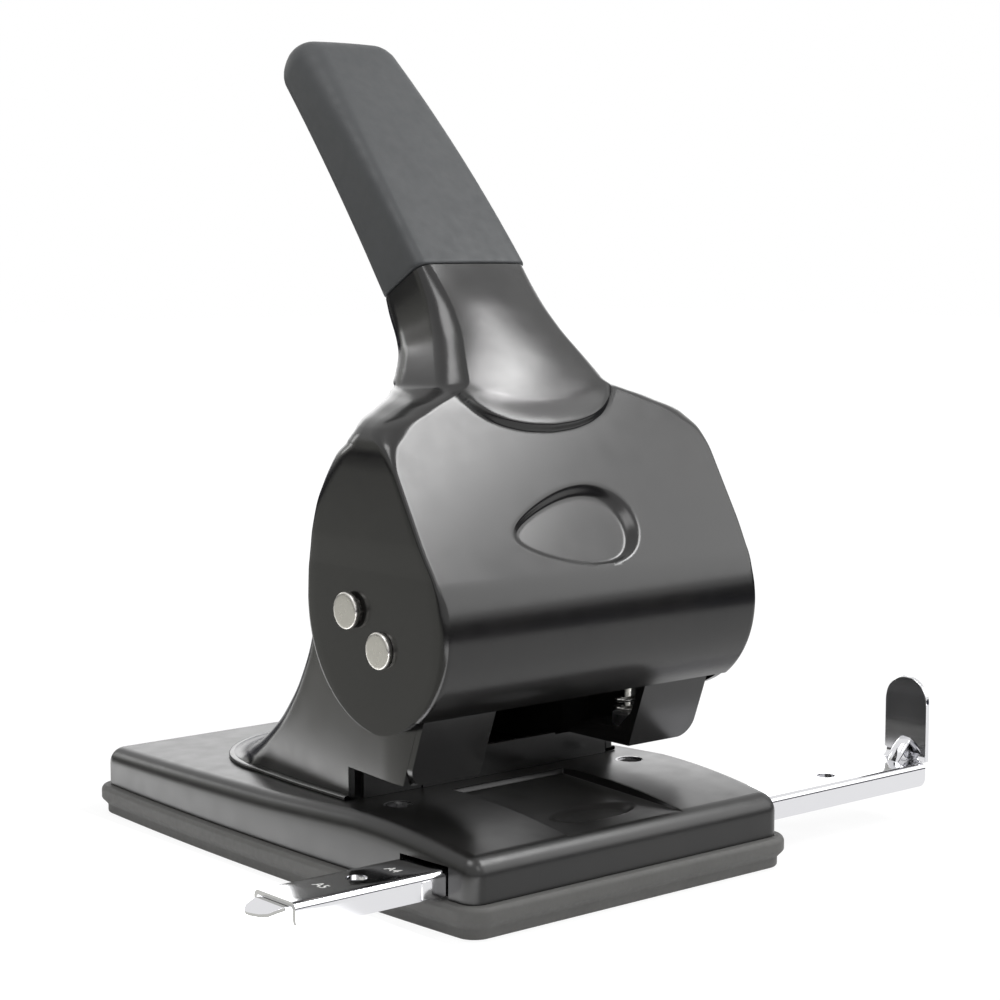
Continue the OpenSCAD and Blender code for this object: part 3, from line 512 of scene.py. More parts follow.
def enamel(name, low, high, grain):
    """Black stoved enamel: nearly smooth, with a fine orange peel and a finer grain over it."""
    finish = new_finish(name, (0.009, 0.009, 0.009), 0, (low + high) / 2)
    tint(finish, speckle(finish, 22, 2), (0.0075, 0.0075, 0.0075), (0.0105, 0.0100, 0.0095))
    vary(finish, speckle(finish, 6, 3), low, high)
    peel = emboss(finish, speckle(finish, 1.1, 2), grain)
    emboss(finish, speckle(finish, 0.28, 1), grain * 0.25, onto=peel)
    return finish


base_enamel = enamel("base_enamel", 0.29, 0.34, 0.0012)

HOLE_LINE = -39.3
PIN_X = 40.0
table_top = cover_high.z
NOSE_DROP = 4.0
MIDDLE_DROP = 1.8
REAR_DROP = 3.9
EDGE = 4.4
COVER_T = 1.5
RECESS_HALF = 19.3
RECESS_REAR = -34.8
RECESS_DEEP = 1.4
RECESS_OUT = base_front + 3.4
SCOOP = (0.0, base_front + 16, 14.2, 6.2)
SCOOP_DEEP = 1.6


def table_z(y):
    """Height of the cover's top along the base."""
    if y > 0:
        return table_top - MIDDLE_DROP - (REAR_DROP - MIDDLE_DROP) * y / base_rear
    if y > HOLE_LINE:
        return table_top - MIDDLE_DROP * (y - HOLE_LINE) / -HOLE_LINE
    return table_top - NOSE_DROP * ((HOLE_LINE - y) / (HOLE_LINE - base_front)) ** 2


def fade(x, start, end):
    """0 before start, 1 after end, smooth between."""
    t = min(1, max(0, (x - start) / (end - start)))
    return t * t * (3 - 2 * t)


def recess_floor(y):
    """Height of the thumb recess: flat, and running out at the cover's front edge."""
    rear_z = table_z(RECESS_REAR) - RECESS_DEEP
    out_z = table_z(RECESS_OUT) - 0.1
    return out_z + (rear_z - out_z) * (y - RECESS_OUT) / (RECESS_REAR - RECESS_OUT)


def pressed_top(x, y, z):
    """The height at a point of the cover, with the recess and its scoop pressed in."""
    if y > RECESS_REAR + 1 or abs(x) > RECESS_HALF + 0.4:
        return z
    inside = fade(RECESS_HALF + 0.25 - abs(x), 0, 0.5) * fade(RECESS_REAR + 0.25 - y, 0, 0.5)
    floor_z = recess_floor(y)
    cx, cy, a, b = SCOOP
    u, v = (x - cx) / a, (y - cy) / b
    radius = hypot(u, v)
    if radius < 1:
        floor_z -= SCOOP_DEEP * fade(1 - radius, 0, 0.36 + 0.16 * v) * (0.66 - 0.34 * v * (1 - u * u))
    return z + (min(z, floor_z) - z) * inside


wall_line = [(0, EDGE)] + [(EDGE * (1 - cos(a)), EDGE * (1 - sin(a)))
                           for a in [radians(9 * k) for k in range(1, 11)]]
cover_foot = cover_low.z
cover_points = []
foot_steps = 6
foot_ring = mirrored(base_half(0))
for k in range(foot_steps):
    for x, y in foot_ring:
        top = table_z(y) - EDGE
        cover_points.append((x, y, cover_foot + (top - cover_foot) * k / foot_steps))
for inset, drop in wall_line:
    for x, y in mirrored(base_half(inset)):
        cover_points.append((x, y, pressed_top(x, y, table_z(y) - drop)))
cover_faces = grid_faces(foot_steps + len(wall_line), len(foot_ring), closed=True)

# the top is a sheet of rows across the base, which meets the last ring all round
inner = base_half(EDGE)
row_ends = inner[len(front_columns):len(inner) - len(front_columns)]


def top_row(end, y):
    """A row of the top from side to side."""
    half = [(spread(x, end), y) for x in front_columns] + [(end, y)]
    return [(-x, y) for x, y in reversed(half)] + half


top_start = len(cover_points)
rows = [top_row(x, y) for x, y in row_ends]
for row in rows:
    cover_points += [(x, y, pressed_top(x, y, table_z(y))) for x, y in row]
cover_faces += [tuple(top_start + i for i in face) for face in grid_faces(len(rows), len(rows[0]))]
cover = make_piece("enamelled_base_cover", cover_points, cover_faces, base_enamel)


def cut(piece, tools, crease):
    """Cuts the tools' shapes out of the piece, settles it and clears the tools away."""
    for tool in tools:
        knife = piece.modifiers.new("cut", "BOOLEAN")
        knife.operation = "DIFFERENCE"
        knife.solver = "EXACT"
        knife.object = tool
    settle(piece, crease)
    for tool in tools:
        bpy.data.objects.remove(tool)


def block(low, high):
    """A box-shaped tool."""
    points = [(x, y, z) for x in (low[0], high[0]) for y in (low[1], high[1]) for z in (low[2], high[2])]
    faces = [(0, 1, 3, 2), (4, 6, 7, 5), (0, 4, 5, 1), (2, 3, 7, 6), (0, 2, 6, 4), (1, 5, 7, 3)]
    return make_piece("tool", points, faces, base_enamel)


def peg(x, y, z0, z1, diameter, steps=48):
    """A round upright tool."""
    points = [(x + px, y + py, z) for z in (z0, z1) for px, py in arc(0, 0, diameter / 2, 0, 360, steps)[:-1]]
    return make_piece("tool", points, closed_faces(2, steps), base_enamel)


thicken(cover, COVER_T)
DIE_HOLE = 6.8
SLOT_TOP = 16.4
SLOT_REACH = 7
tools = [peg(s * PIN_X, HOLE_LINE, 15, 30, DIE_HOLE) for s in (-1, 1)]
tools += [block((s * half_width - SLOT_REACH, SLOT_FRONT, cover_foot - 1),
                (s * half_width + SLOT_REACH, SLOT_REAR, SLOT_TOP)) for s in (-1, 1)]
cut(cover, tools, 38)
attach(cover, "base")
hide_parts("base_cover")


# ---- dies and die plate --------------------------------------------------------------
# Two hardened dies stand in a ground steel plate under the table. Only their cutting rings
# show, a hair below the enamel.

ground_steel = new_finish("ground_steel", (0.46, 0.46, 0.47), 1, 0.34)
vary(ground_steel, speckle(ground_steel, 1.5, 3, (1, 6, 1)), 0.26, 0.44)
emboss(ground_steel, speckle(ground_steel, 0.25, 2, (1, 8, 1)), 0.004)


def refinish(node, finish, radius):
    """Gives a piece of the frame its finish, and breaks its edges."""
    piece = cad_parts[node]
    piece.data.materials.clear()
    piece.data.materials.append(finish)
    round_edges(piece, radius, 2)


for node in ("die_plate", "left_die", "right_die"):
    refinish(node, ground_steel, 0.12)


# ---- pedestal ------------------------------------------------------------------------
# One deep-drawn steel pressing, enamelled satin black: two cheeks carry the axles and run
# into a wall that flares out at the rear to a flange on the base.

satin_enamel = enamel("satin_enamel", 0.19, 0.23, 0.0016)
CHEEK_HALF = box_mm("frame_pedestal")[1].x
CHEEK_T = 2.0
TOE_IN = 0.117
TOE_START = -48.0
FRAME_FRONT = -25.4
FLARE_Z = 20
THROAT_TOP = 30.9
cheek_back_line = [
    (18, 23.2), (FLARE_Z, 23), (21, 21.4), (22.5, 19.8), (26.7, 17.2), (30.7, 12.8), (36, 7), (40, 3.6),
    (48.3, -2.5), (60.8, -9), (75, -12), (92, -16),
]
wall_back_line = [
    (18, 68), (FLARE_Z, 64), (20.15, 62), (20.4, 59.6), (20.9, 57), (21.7, 54.4), (22.8, 52), (24, 50),
    (28, 41), (33, 31.4), (40, 22), (48.3, 13.5), (60.8, 6), (75, 1), (92, -3),
]


def cheek_x(y):
    """Half the width over the cheeks, which toe in to the rear."""
    return CHEEK_HALF - TOE_IN * max(0, y - TOE_START)


def pedestal_half(z, inset):
    """Right half of the pedestal's plan at a height: straight cheek, then a rounded rear wall."""
    rear = lookup(z, cheek_back_line)
    wall = lookup(z, wall_back_line)
    x = cheek_x(rear) - inset
    depth = wall - rear - inset
    ys = [-66, -60, -54, -48, -42, -36, -30] + [FRAME_FRONT + (rear - FRAME_FRONT) * k / 8 for k in range(8)]
    points = [(cheek_x(y) - inset, y) for y in ys]
    turns = [radians(3 * k) for k in range(30)]
    return points + [(x * cos(a), rear + depth * sin(a)) for a in turns]


FOOT_LIFT = 1.15
flare_levels = [19.6, FLARE_Z] + [20.25 + 0.25 * k for k in range(15)] + [24.3 + 0.6 * k for k in range(8)]
flare_levels += [29.3 + 1.5 * k for k in range(40)]
pedestal_points = []
for z in flare_levels:
    for x, y in mirrored(pedestal_half(z, 0)):
        # near the table the rings lean over from the table's slope to level
        foot = table_z(max(y, FRAME_FRONT)) + FOOT_LIFT + 0.7 * (z - FLARE_Z)
        pedestal_points.append((x, y, foot + (z - foot) * fade(z, 21, 32)))
across = len(pedestal_points) // len(flare_levels)
pedestal = make_piece("drawn_pedestal", pedestal_points, grid_faces(len(flare_levels), across), satin_enamel)
thicken(pedestal, CHEEK_T)

# the cheek's outline seen from the side: throat, front edge, ear, and down to the wall's top
EAR_Y = -45.5
EAR_Z = 69.5
EAR_R = 17.0
CHEEK_FRONT = -58.35
WALL_TOP = 61
BELOW = 10
BEHIND = 80
side_outline = [(FRAME_FRONT, BELOW), (FRAME_FRONT, THROAT_TOP), (-51.6, THROAT_TOP), (CHEEK_FRONT, 49.4),
                (CHEEK_FRONT, 60)]
side_outline += arc(EAR_Y, EAR_Z, EAR_R, 200, 50, 20)
side_outline += [(EAR_Y + 21, EAR_Z + 8), (-14, 69), (-5, WALL_TOP), (BEHIND, WALL_TOP), (BEHIND, BELOW)]
mould_points = [(x, y, z) for x in (-60, 60) for y, z in side_outline]
mould = make_piece("tool", mould_points, closed_faces(2, len(side_outline)), satin_enamel)
trim = pedestal.modifiers.new("trim", "BOOLEAN")
trim.operation = "INTERSECT"
trim.solver = "EXACT"
trim.use_self = True
trim.object = mould
settle(pedestal, 40)
bpy.data.objects.remove(mould)
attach(pedestal, "base")
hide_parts("frame_pedestal")

FLANGE_OUT = 1.4
FLANGE_T = 1.1
flange_profile = rounded_line([(CHEEK_T, 0.05), (-FLANGE_OUT, 0.05), (-FLANGE_OUT, FLANGE_T - 0.05),
                               (-0.4, FLANGE_T + 0.08), (CHEEK_T, FLANGE_T)], 0.6, 4)
flange_points = []
for inset, lift in flange_profile:
    half = [(x, y) for x, y in pedestal_half(FLARE_Z, inset) if y >= FRAME_FRONT]
    flange_points += [(x, y, table_z(y) + lift) for x, y in mirrored(half)]
across = len(flange_points) // len(flange_profile)
flange = make_piece("pedestal_flange", flange_points, grid_faces(len(flange_profile), across), satin_enamel)
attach(flange, "base")
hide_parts("frame_pedestal")


# ---- columns and paper stop ----------------------------------------------------------
# Bent steel pieces in the same enamel: two columns hold the pins over the dies, and the
# stop between them sets the sheet's margin.

for node in ("left_column", "right_column", "paper_stop"):
    refinish(node, satin_enamel, 0.25)


# ---- pins, guides, springs and clips -------------------------------------------------
# Hardened, polished pins run in turned guides. A coil spring round each lifts it again, held
# by a clip in the pin's groove. The screws, the bar's saddle and its leaf spring and the
# handle's core share the plain steel of the guides.

polished_steel = new_finish("polished_steel", (0.62, 0.61, 0.59), 1, 0.16)
vary(polished_steel, speckle(polished_steel, 0.8, 3, (1, 1, 7)), 0.10, 0.24)
for node in ("left_pin", "right_pin"):
    refinish(node, polished_steel, 0.15)
for node in ("left_pin_guide", "right_pin_guide", "left_pin_clip", "right_pin_clip", "frame_screws",
             "bar_guide", "bar_spring", "handle_core"):
    refinish(node, ground_steel, 0.1)


WIRE = 1.1
WIRE_STEPS = 12
SPRING_TURNS = 7
wire_rows = SPRING_TURNS * 36
for side, x in (("left", -PIN_X), ("right", PIN_X)):
    low, high = box_mm(side + "_pin_spring")
    first, last = low.z + WIRE / 2, high.z - WIRE / 2
    coil = (high.x - low.x - WIRE) / 2
    close = 1.4 * WIRE
    climb = [(0, first), (1, first + close), (SPRING_TURNS - 1, last - close), (SPRING_TURNS, last)]
    wire_points = []
    for k in range(wire_rows + 1):
        t = SPRING_TURNS * k / wire_rows
        a = 2 * pi * t
        z = lookup(t, climb)
        for out, up in arc(0, 0, WIRE / 2, 0, 360, WIRE_STEPS)[:-1]:
            wire_points.append((x + (coil + out) * cos(a), HOLE_LINE + (coil + out) * sin(a), z + up))
    wire_faces = closed_faces(wire_rows + 1, WIRE_STEPS)
    spring = make_piece(side + "_coil_spring", wire_points, wire_faces, polished_steel)
    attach(spring, "base")
    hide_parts(side + "_pin_spring")
    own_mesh(spring)


# ---- axles and washers ---------------------------------------------------------------
# Two nickel-plated axles cross the shell. Their heads are turned flat, and the press axle's
# stand a little off the side plates.

nickel = new_finish("turned_nickel", (0.60, 0.585, 0.555), 1, 0.30)
vary(nickel, speckle(nickel, 1.4, 4), 0.24, 0.40)
emboss(nickel, speckle(nickel, 0.4, 3), 0.01)
nylon = new_finish("nylon", (0.72, 0.71, 0.68), 0, 0.45)
emboss(nylon, speckle(nylon, 0.5), 0.01)
refinish("axle_washers", nylon, 0.2)


def turned(name, profile, centre, finish, crease, steps=64):
    """A piece turned about a line along X. The profile gives X and radius from end to end."""
    points = []
    for x, radius in profile:
        points += [(x, centre[0] + py, centre[1] + pz) for py, pz in arc(0, 0, radius, 0, 360, steps)[:-1]]
    return make_piece(name, points, closed_faces(len(profile), steps), finish, crease)


SHELL_HALF = 53.2
SHAFT_SHARE = 6.6 / 9.3
for node, stand in (("pivot_axle", 0.0), ("press_axle", 0.9)):
    low, high = box_mm(node)
    middle = ((low.y + high.y) / 2, (low.z + high.z) / 2)
    head = (high.z - low.z) / 2
    shaft = head * SHAFT_SHARE
    face = high.x - 0.02
    under = SHELL_HALF + 0.02
    outer = [
        (under, shaft), (under + stand, shaft), (under + stand, head - 0.15), (under + stand + 0.15, head),
        (face - 0.43, head), (face - 0.18, head - 0.12), (face - 0.04, head - 0.4), (face, head - 0.9),
        (face, head * 0.5), (face, 0.05),
    ]
    profile = [(-x, r) for x, r in reversed(outer)] + outer
    axle = turned("turned_" + node, profile, middle, nickel, 50)
    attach(axle, "lever")
    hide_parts(node)


# ---- lever shell ---------------------------------------------------------------------
# The shell is drawn from one steel sheet: a drum that turns in front of the pins, flat side
# plates, shoulders that run up into the neck, a raised tongue and an egg-shaped dent.

DRUM_Y = -47.7
DRUM_Z = 69.9
DRUM_R = 26.4
REAR_Z = 75.0
REAR_REACH = 30.1
REAR_DROP_R = 31.5
HOOD_LEAN = radians(30)
NECK_LEAN = radians(38)
NECK_START = 126.0
NECK_BEND = 4
SEAM_Z = 158.0
SEAM_TILT = 30.0
LIP_Z = 49.0
OPENING_TOP = 94.0
SHELL_T = 2.0
GRIP_DEEP = 19.4
TANGENT_Y = DRUM_Y - DRUM_R * cos(HOOD_LEAN)
TANGENT_Z = DRUM_Z + DRUM_R * sin(HOOD_LEAN)
half_width_line = [
    (84, SHELL_HALF), (92, 53.8), (108, 53.8), (112, 53.7), (115, 53.3), (116.8, 52.6), (118.5, 51.2),
    (120.2, 48.4), (121.9, 43.9), (123.7, 39.1), (125.4, 33.6), (127.1, 28.9), (128.2, 27.4), (131.3, 25.7),
    (134.4, 24.2), (137.6, 22.6), (140.7, 21.2), (143.8, 20.2), (147, 19.3), (150, 18.8), (154, 18.4),
    (SEAM_Z, 18.2),
]
rear_line = [
    (REAR_Z, -17.6), (82, -17.8), (89, -19.4), (96, -20.7), (100, -21.5), (104, -22.8), (108, -24.1),
    (111.5, -25.7), (115, -29.5), (118, -31.9), (121, -28.8), (123.5, -25.4), (NECK_START, -17.8),
]
neck_flare = [
    (NECK_START, 9.0), (129, 11.6), (132, 10.5), (136, 8.8), (140, 7.4), (144, 6.1), (148, 5), (153, 3.4),
    (SEAM_Z, 1),
]
front_round_line = [
    (78, 2), (84, 1), (108, 1), (114, 3), (118, 6.5), (122, 7), (126, 6), (131, 5.2), (140, 4.8),
    (SEAM_Z, 3.4),
]
rear_round_line = [
    (REAR_Z, 2), (90, 2.5), (97, 3.5), (104, 6), (112, 10), (118, 11), (124, 12), (130, 12), (138, 11),
    (148, 8), (SEAM_Z, 5),
]


def shell_front(z):
    """The shell's front line: round the drum, up the sloping face and up the neck."""
    if z < TANGENT_Z:
        return DRUM_Y - sqrt(max(0, DRUM_R**2 - (z - DRUM_Z) ** 2))
    straight = TANGENT_Y + (z - TANGENT_Z) * tan(HOOD_LEAN)
    if z < NECK_START - NECK_BEND:
        return straight
    # the neck leans back further, after a short bend
    more = tan(NECK_LEAN) - tan(HOOD_LEAN)
    t = min(2 * NECK_BEND, z - NECK_START + NECK_BEND)
    return straight + more * (t * t / (4 * NECK_BEND) + max(0, z - NECK_START - NECK_BEND))


def shell_back(z):
    """Its rear line: a wider turn than the drum's, in under the shoulders and back to the neck."""
    if z < REAR_Z:
        return DRUM_Y + REAR_REACH * sqrt(max(0, 1 - ((REAR_Z - z) / REAR_DROP_R) ** 2))
    return lookup(z, rear_line)


def shell_tilt(z):
    """How far a section of the neck dips to the rear, from level up to the grip's seam."""
    return radians(SEAM_TILT) * min(1, max(0, (z - NECK_START) / (SEAM_Z - NECK_START)))


def shell_depth(z):
    """Depth of a section from front to rear."""
    return shell_back(z) - shell_front(z) if z <= NECK_START else GRIP_DEEP + lookup(z, neck_flare)


def face_lean(z):
    """How far the front leans back at a height."""
    if z < TANGENT_Z:
        return atan2(z - DRUM_Z, sqrt(max(1, DRUM_R**2 - (z - DRUM_Z) ** 2)))
    return NECK_LEAN if z >= NECK_START else HOOD_LEAN


tongue_foot_line = [
    (0, 115.4), (7, 115.9), (13, 117), (18, 118.7), (22, 121.2), (25.2, 124.6), (27, 128), (28.5, 133),
]
crown_line = [(115, 0.5), (124, 1.3), (134, 1.8), (146, 1.6), (SEAM_Z, 0.3)]
TONGUE_RISE = 0.6


def tongue_height(x, z):
    """How far the neck's raised front stands out of the shell's slope, in millimetres."""
    below = z - lookup(abs(x), tongue_foot_line)
    if below <= 0:
        return 0
    crown = lookup(z, crown_line) * max(0, 1 - (x / lookup(z, half_width_line)) ** 2)
    # down to its foot it keeps the neck's lean, which the slope under it has not
    bend_end = NECK_START + NECK_BEND
    flush = 0
    if z < bend_end:
        flush = shell_front(z) - shell_front(bend_end) + (bend_end - z) * tan(NECK_LEAN)
    rise = TONGUE_RISE * (1 - fade(z, 134, SEAM_Z)) + 0.75 * flush
    return fade(below, 0, 1.5) * rise + crown * fade(below, 0, 8)


DENT = (-3.2, 93.0, 20.8, 10.5)
DENT_DEEP = 1.60
DENT_TILT = radians(2.5)


def dent_depth(x, z):
    """Depth of the egg-shaped dent, deepest under its upper right edge."""
    cx, cz, a, b = DENT
    slope = (z - cz) / cos(HOOD_LEAN)
    u = ((x - cx) * cos(DENT_TILT) + slope * sin(DENT_TILT)) / a
    v = (-(x - cx) * sin(DENT_TILT) + slope * cos(DENT_TILT)) / b
    v = v / (1 + 0.36 * u)
    radius = hypot(u, v)
    if radius > 1.12:
        return 0
    lean = 0.45 * u + 0.75 * v
    wall = fade((1 - radius) * b, -0.2, 0.8 + 2.0 * fade(lean, -0.5, 0.6))
    return (DENT_DEEP + 0.45 * lean) * wall


FRONT_COLUMNS = 84
ROUND_STEPS = 7
side_shares = [0.06, 0.2, 0.35, 0.5, 0.65, 0.8, 0.94]


def shell_half_ring(z, side):
    """Half of the shell's section, from the middle of its front to the middle of its rear."""
    tilt = shell_tilt(z)
    lean = face_lean(z)
    depth = shell_depth(z)
    width = lookup(z, half_width_line)
    front_r = min(lookup(z, front_round_line), 0.45 * depth)
    rear_r = min(lookup(z, rear_round_line), 0.45 * depth)
    flat = width - front_r
    points = [(flat * k / FRONT_COLUMNS, 0) for k in range(1, FRONT_COLUMNS + 1)]
    points += arc(flat, front_r, front_r, -90, 0, ROUND_STEPS)[1:]
    points += [(width, front_r + (depth - front_r - rear_r) * s) for s in side_shares]
    points += arc(width - rear_r, depth - rear_r, rear_r, 0, 90, ROUND_STEPS)
    points += [((width - rear_r) * k / 8, depth) for k in range(7, 0, -1)]
    placed = []
    for x, d in points:
        out = 0
        if d < front_r * 0.999 and z > LIP_Z + 10:
            out = (tongue_height(x, z) - dent_depth(side * x, z)) * (1 - max(0, x - flat) / front_r)
        y = shell_front(z) + d * cos(tilt) - out * cos(lean)
        placed.append((side * x, y, z - d * sin(tilt) + out * sin(lean)))
    return placed


def drum_levels(turns):
    """Heights on the drum, at angles from its lowest line."""
    return [DRUM_Z - DRUM_R * cos(radians(b)) for b in turns]


# the levels lie closest together over the dent and the foot of the tongue
shell_levels = drum_levels(range(5, 34, 4)) + [LIP_Z] + drum_levels(range(41, 120, 3))
shell_levels += [TANGENT_Z + 0.45 * k for k in range(1, 47)]
shell_levels += [104.5 + 0.8 * k for k in range(0, 12)]
shell_levels += [114.0 + 0.25 * k for k in range(0, 20)] + [119.0 + 0.4 * k for k in range(0, 24)]
shell_levels += [128.6 + 1.0 * k for k in range(0, 30)] + [SEAM_Z]
shell_rows = [shell_half_ring(z, 1) + shell_half_ring(z, -1)[::-1] for z in shell_levels]
around = len(shell_rows[0])
front_count = FRONT_COLUMNS + ROUND_STEPS
rear_start = front_count + len(side_shares)


def shell_face_kept(r, c):
    """Below the lip the front is open, and behind the rear is open up to the shoulders."""
    column = min(c, around - 2 - c) if c < around - 1 else -1
    if shell_levels[r] < LIP_Z - 0.01 and column < front_count - 1:
        return False
    return shell_levels[r] > OPENING_TOP - 0.3 or column < rear_start + ROUND_STEPS // 2


shell_points = [p for row in shell_rows for p in row]
shell_faces = grid_faces(len(shell_rows), around, closed=True, keep=shell_face_kept)
shell = make_piece("drawn_lever_shell", shell_points, shell_faces, satin_enamel)
thicken(shell, SHELL_T)
settle(shell, 50)
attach(shell, "lever")
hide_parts("lever_shell")


# ---- grip ----------------------------------------------------------------------------
# A moulded soft-touch sleeve, pushed over the handle's core down to the seam. Its front is
# slightly crowned and its end is rounded over.

soft_touch = new_finish("soft_touch_grip", (0.056, 0.059, 0.063), 0, 0.52, 0.36)
tint(soft_touch, speckle(soft_touch, 18, 2), (0.054, 0.057, 0.060), (0.062, 0.065, 0.068))
vary(soft_touch, speckle(soft_touch, 3, 3), 0.47, 0.58)
emboss(soft_touch, speckle(soft_touch, 0.3, 3), 0.028)

GRIP_LEN = 86.5
GRIP_HALF = 18.9
GRIP_TOP_HALF = 17.9
GRIP_TOP_DEEP = 15.8
LEAN_LOW = 39.0
LEAN_HIGH = 44.5
GRIP_END = 8.6
GRIP_END_IN = 7.6
GRIP_RUN = GRIP_LEN - GRIP_END
SEAM_Y = shell_front(SEAM_Z)
BEND_R = GRIP_RUN / radians(LEAN_HIGH - LEAN_LOW)


def grip_front(s):
    """The grip's front line: a wide arc whose lean grows towards the top."""
    lean = radians(LEAN_LOW + (LEAN_HIGH - LEAN_LOW) * min(1, s / GRIP_RUN))
    past = max(0, s - GRIP_RUN)
    y = SEAM_Y + BEND_R * (cos(radians(LEAN_LOW)) - cos(lean)) + past * sin(lean)
    z = SEAM_Z + BEND_R * (sin(lean) - sin(radians(LEAN_LOW))) + past * cos(lean)
    return y, z, lean


def grip_half_ring(s, drawn_in):
    """Half of the grip's section at a distance from the seam, drawn in from its full size."""
    share = min(1, s / GRIP_RUN)
    y, z, lean = grip_front(s)
    tilt = lean - radians(LEAN_LOW - SEAM_TILT) * (1 - min(1, s / 16))
    width = GRIP_HALF + (GRIP_TOP_HALF - GRIP_HALF) * share - drawn_in
    depth = GRIP_DEEP + (GRIP_TOP_DEEP - GRIP_DEEP) * share - 2 * drawn_in
    front_r = min(3.0 + 4.5 * share**2, 0.49 * depth)
    rear_r = min(4.5 + 1.5 * share, 0.49 * depth)
    flat = width - front_r
    points = [(flat * k / 14, 0) for k in range(1, 15)]
    points += arc(flat, front_r, front_r, -90, 0, 9)[1:]
    points += [(width, front_r + (depth - front_r - rear_r) * k / 5) for k in range(1, 5)]
    points += arc(width - rear_r, depth - rear_r, rear_r, 0, 90, 9)
    points += [((width - rear_r) * k / 8, depth) for k in range(7, 0, -1)]
    placed = []
    for x, d in points:
        crown = 0.5 * (1 - (x / width) ** 2) * max(0, 1 - d / front_r)
        e = d + drawn_in - crown
        placed.append((x, y + e * cos(tilt), z - e * sin(tilt)))
    return placed


# stations along the grip: a rounded lower edge, the straight run and the rounded end
SEAM_GAP = 0.35
grip_stations = [(SEAM_GAP + s, drawn_in) for s, drawn_in in
                 ((0.5, 2.0), (0, 1.0), (0.05, 0.55), (0.35, 0.12), (0.8, 0))]
grip_stations += [(2 + 2.4 * k, 0) for k in range(30)] + [(GRIP_RUN, 0)]
end_turns = [radians(b) for b in range(6, 91, 6)]
grip_stations += [(GRIP_RUN + GRIP_END * sin(a), GRIP_END_IN * (1 - cos(a))) for a in end_turns]
grip_rows = [mirrored(grip_half_ring(s, d)) for s, d in grip_stations]
grip_points = [p for row in grip_rows for p in row]
around = len(grip_rows[0])
grip_faces = grid_faces(len(grip_rows), around, closed=True)
grip_faces += strip_cap(0, around) + strip_cap((len(grip_rows) - 1) * around, around)
grip = make_piece("soft_touch_grip", grip_points, grip_faces, soft_touch, 60)
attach(grip, "lever")
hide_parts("grip")


# ---- guide bar -----------------------------------------------------------------------
# A rolled steel channel, bright plated, slides through the base under the table. It has a
# hole near each end, a lug pressed out of its front flange and paper sizes stamped on top.

plated = new_finish("bright_plating", (0.73, 0.73, 0.75), 1, 0.10)
vary(plated, speckle(plated, 9, 3), 0.07, 0.14)
emboss(plated, speckle(plated, 6, 1, (0.3, 1, 1)), 0.005)

stamped = new_finish("stamped_plating", (0.78, 0.78, 0.76), 0, 0.5)
vary(stamped, speckle(stamped, 0.4, 2), 0.42, 0.58)

bar_low, bar_high = box_mm("guide_bar")
BAR_T = 1.2
BAR_ROUND = 1.7
BAR_FLAT = 4.4
BAR_CORNER = 2.2
bar_y = (bar_low.y + bar_high.y) / 2
bar_end_x = bar_high.x - 2.1
bar_ends = [0, 0.1, 0.25, 0.45, 0.7, 1.0, 1.4, 1.9, 2.5]
bar_stations = [bar_low.x + d for d in bar_ends] + [bar_low.x + 5 + 4 * k for k in range(53)]
bar_stations += [bar_end_x - d for d in reversed(bar_ends)]


def bar_foot(x):
    """Height of the flange's lower edge, rounded up at both ends."""
    past = BAR_CORNER - min(BAR_CORNER, x - bar_low.x, bar_end_x - x)
    return bar_low.z + BAR_CORNER - sqrt(max(0, BAR_CORNER**2 - past**2))


turn_z = bar_high.z - BAR_ROUND
bar_points = []
for x in bar_stations:
    foot = bar_foot(x)
    section = [(bar_low.y, foot + (turn_z - foot) * k / 6) for k in range(6)]
    section += arc(bar_low.y + BAR_ROUND, turn_z, BAR_ROUND, 180, 90, 8)
    section += [(bar_y + BAR_FLAT * k / 4, bar_high.z) for k in range(-4, 5)]
    section += arc(bar_high.y - BAR_ROUND, turn_z, BAR_ROUND, 90, 0, 8)
    section += [(bar_high.y, foot + (turn_z - foot) * k / 6) for k in range(5, -1, -1)]
    bar_points += [(x, y, z) for y, z in section]
bar = make_piece("rolled_guide_bar", bar_points, grid_faces(len(bar_stations), len(section)), plated)
thicken(bar, BAR_T)
HOLE_D = 5.2
hole_places = (bar_low.x + 23.3, bar_high.x - 35.2)
cut(bar, [peg(x, bar_y, bar_high.z - 3, bar_high.z + 2, HOLE_D) for x in hole_places], 35)
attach(bar, "paper_guide")
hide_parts("guide_bar")

# the lug pressed out of the front flange: a small plate, raised a little and open at its back
LUG_RISE = 0.22
lug_outline = rounded_line([(-60.8, 9.6), (-60.8, 14.0), (-57.8, 14.0), (-57.8, 9.6)], 0.5, 3)
lug_points = [(x, bar_low.y - d, z) for d in (0.0, LUG_RISE) for x, z in lug_outline]
lug_faces = grid_faces(2, len(lug_outline), closed=True)
lug_faces.append(tuple(range(len(lug_outline), 2 * len(lug_outline))))
lug = make_piece("pressed_lug", lug_points, lug_faces, plated)
round_edges(lug, 0.12, 2, 40)
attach(lug, "paper_guide")
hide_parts("guide_bar")

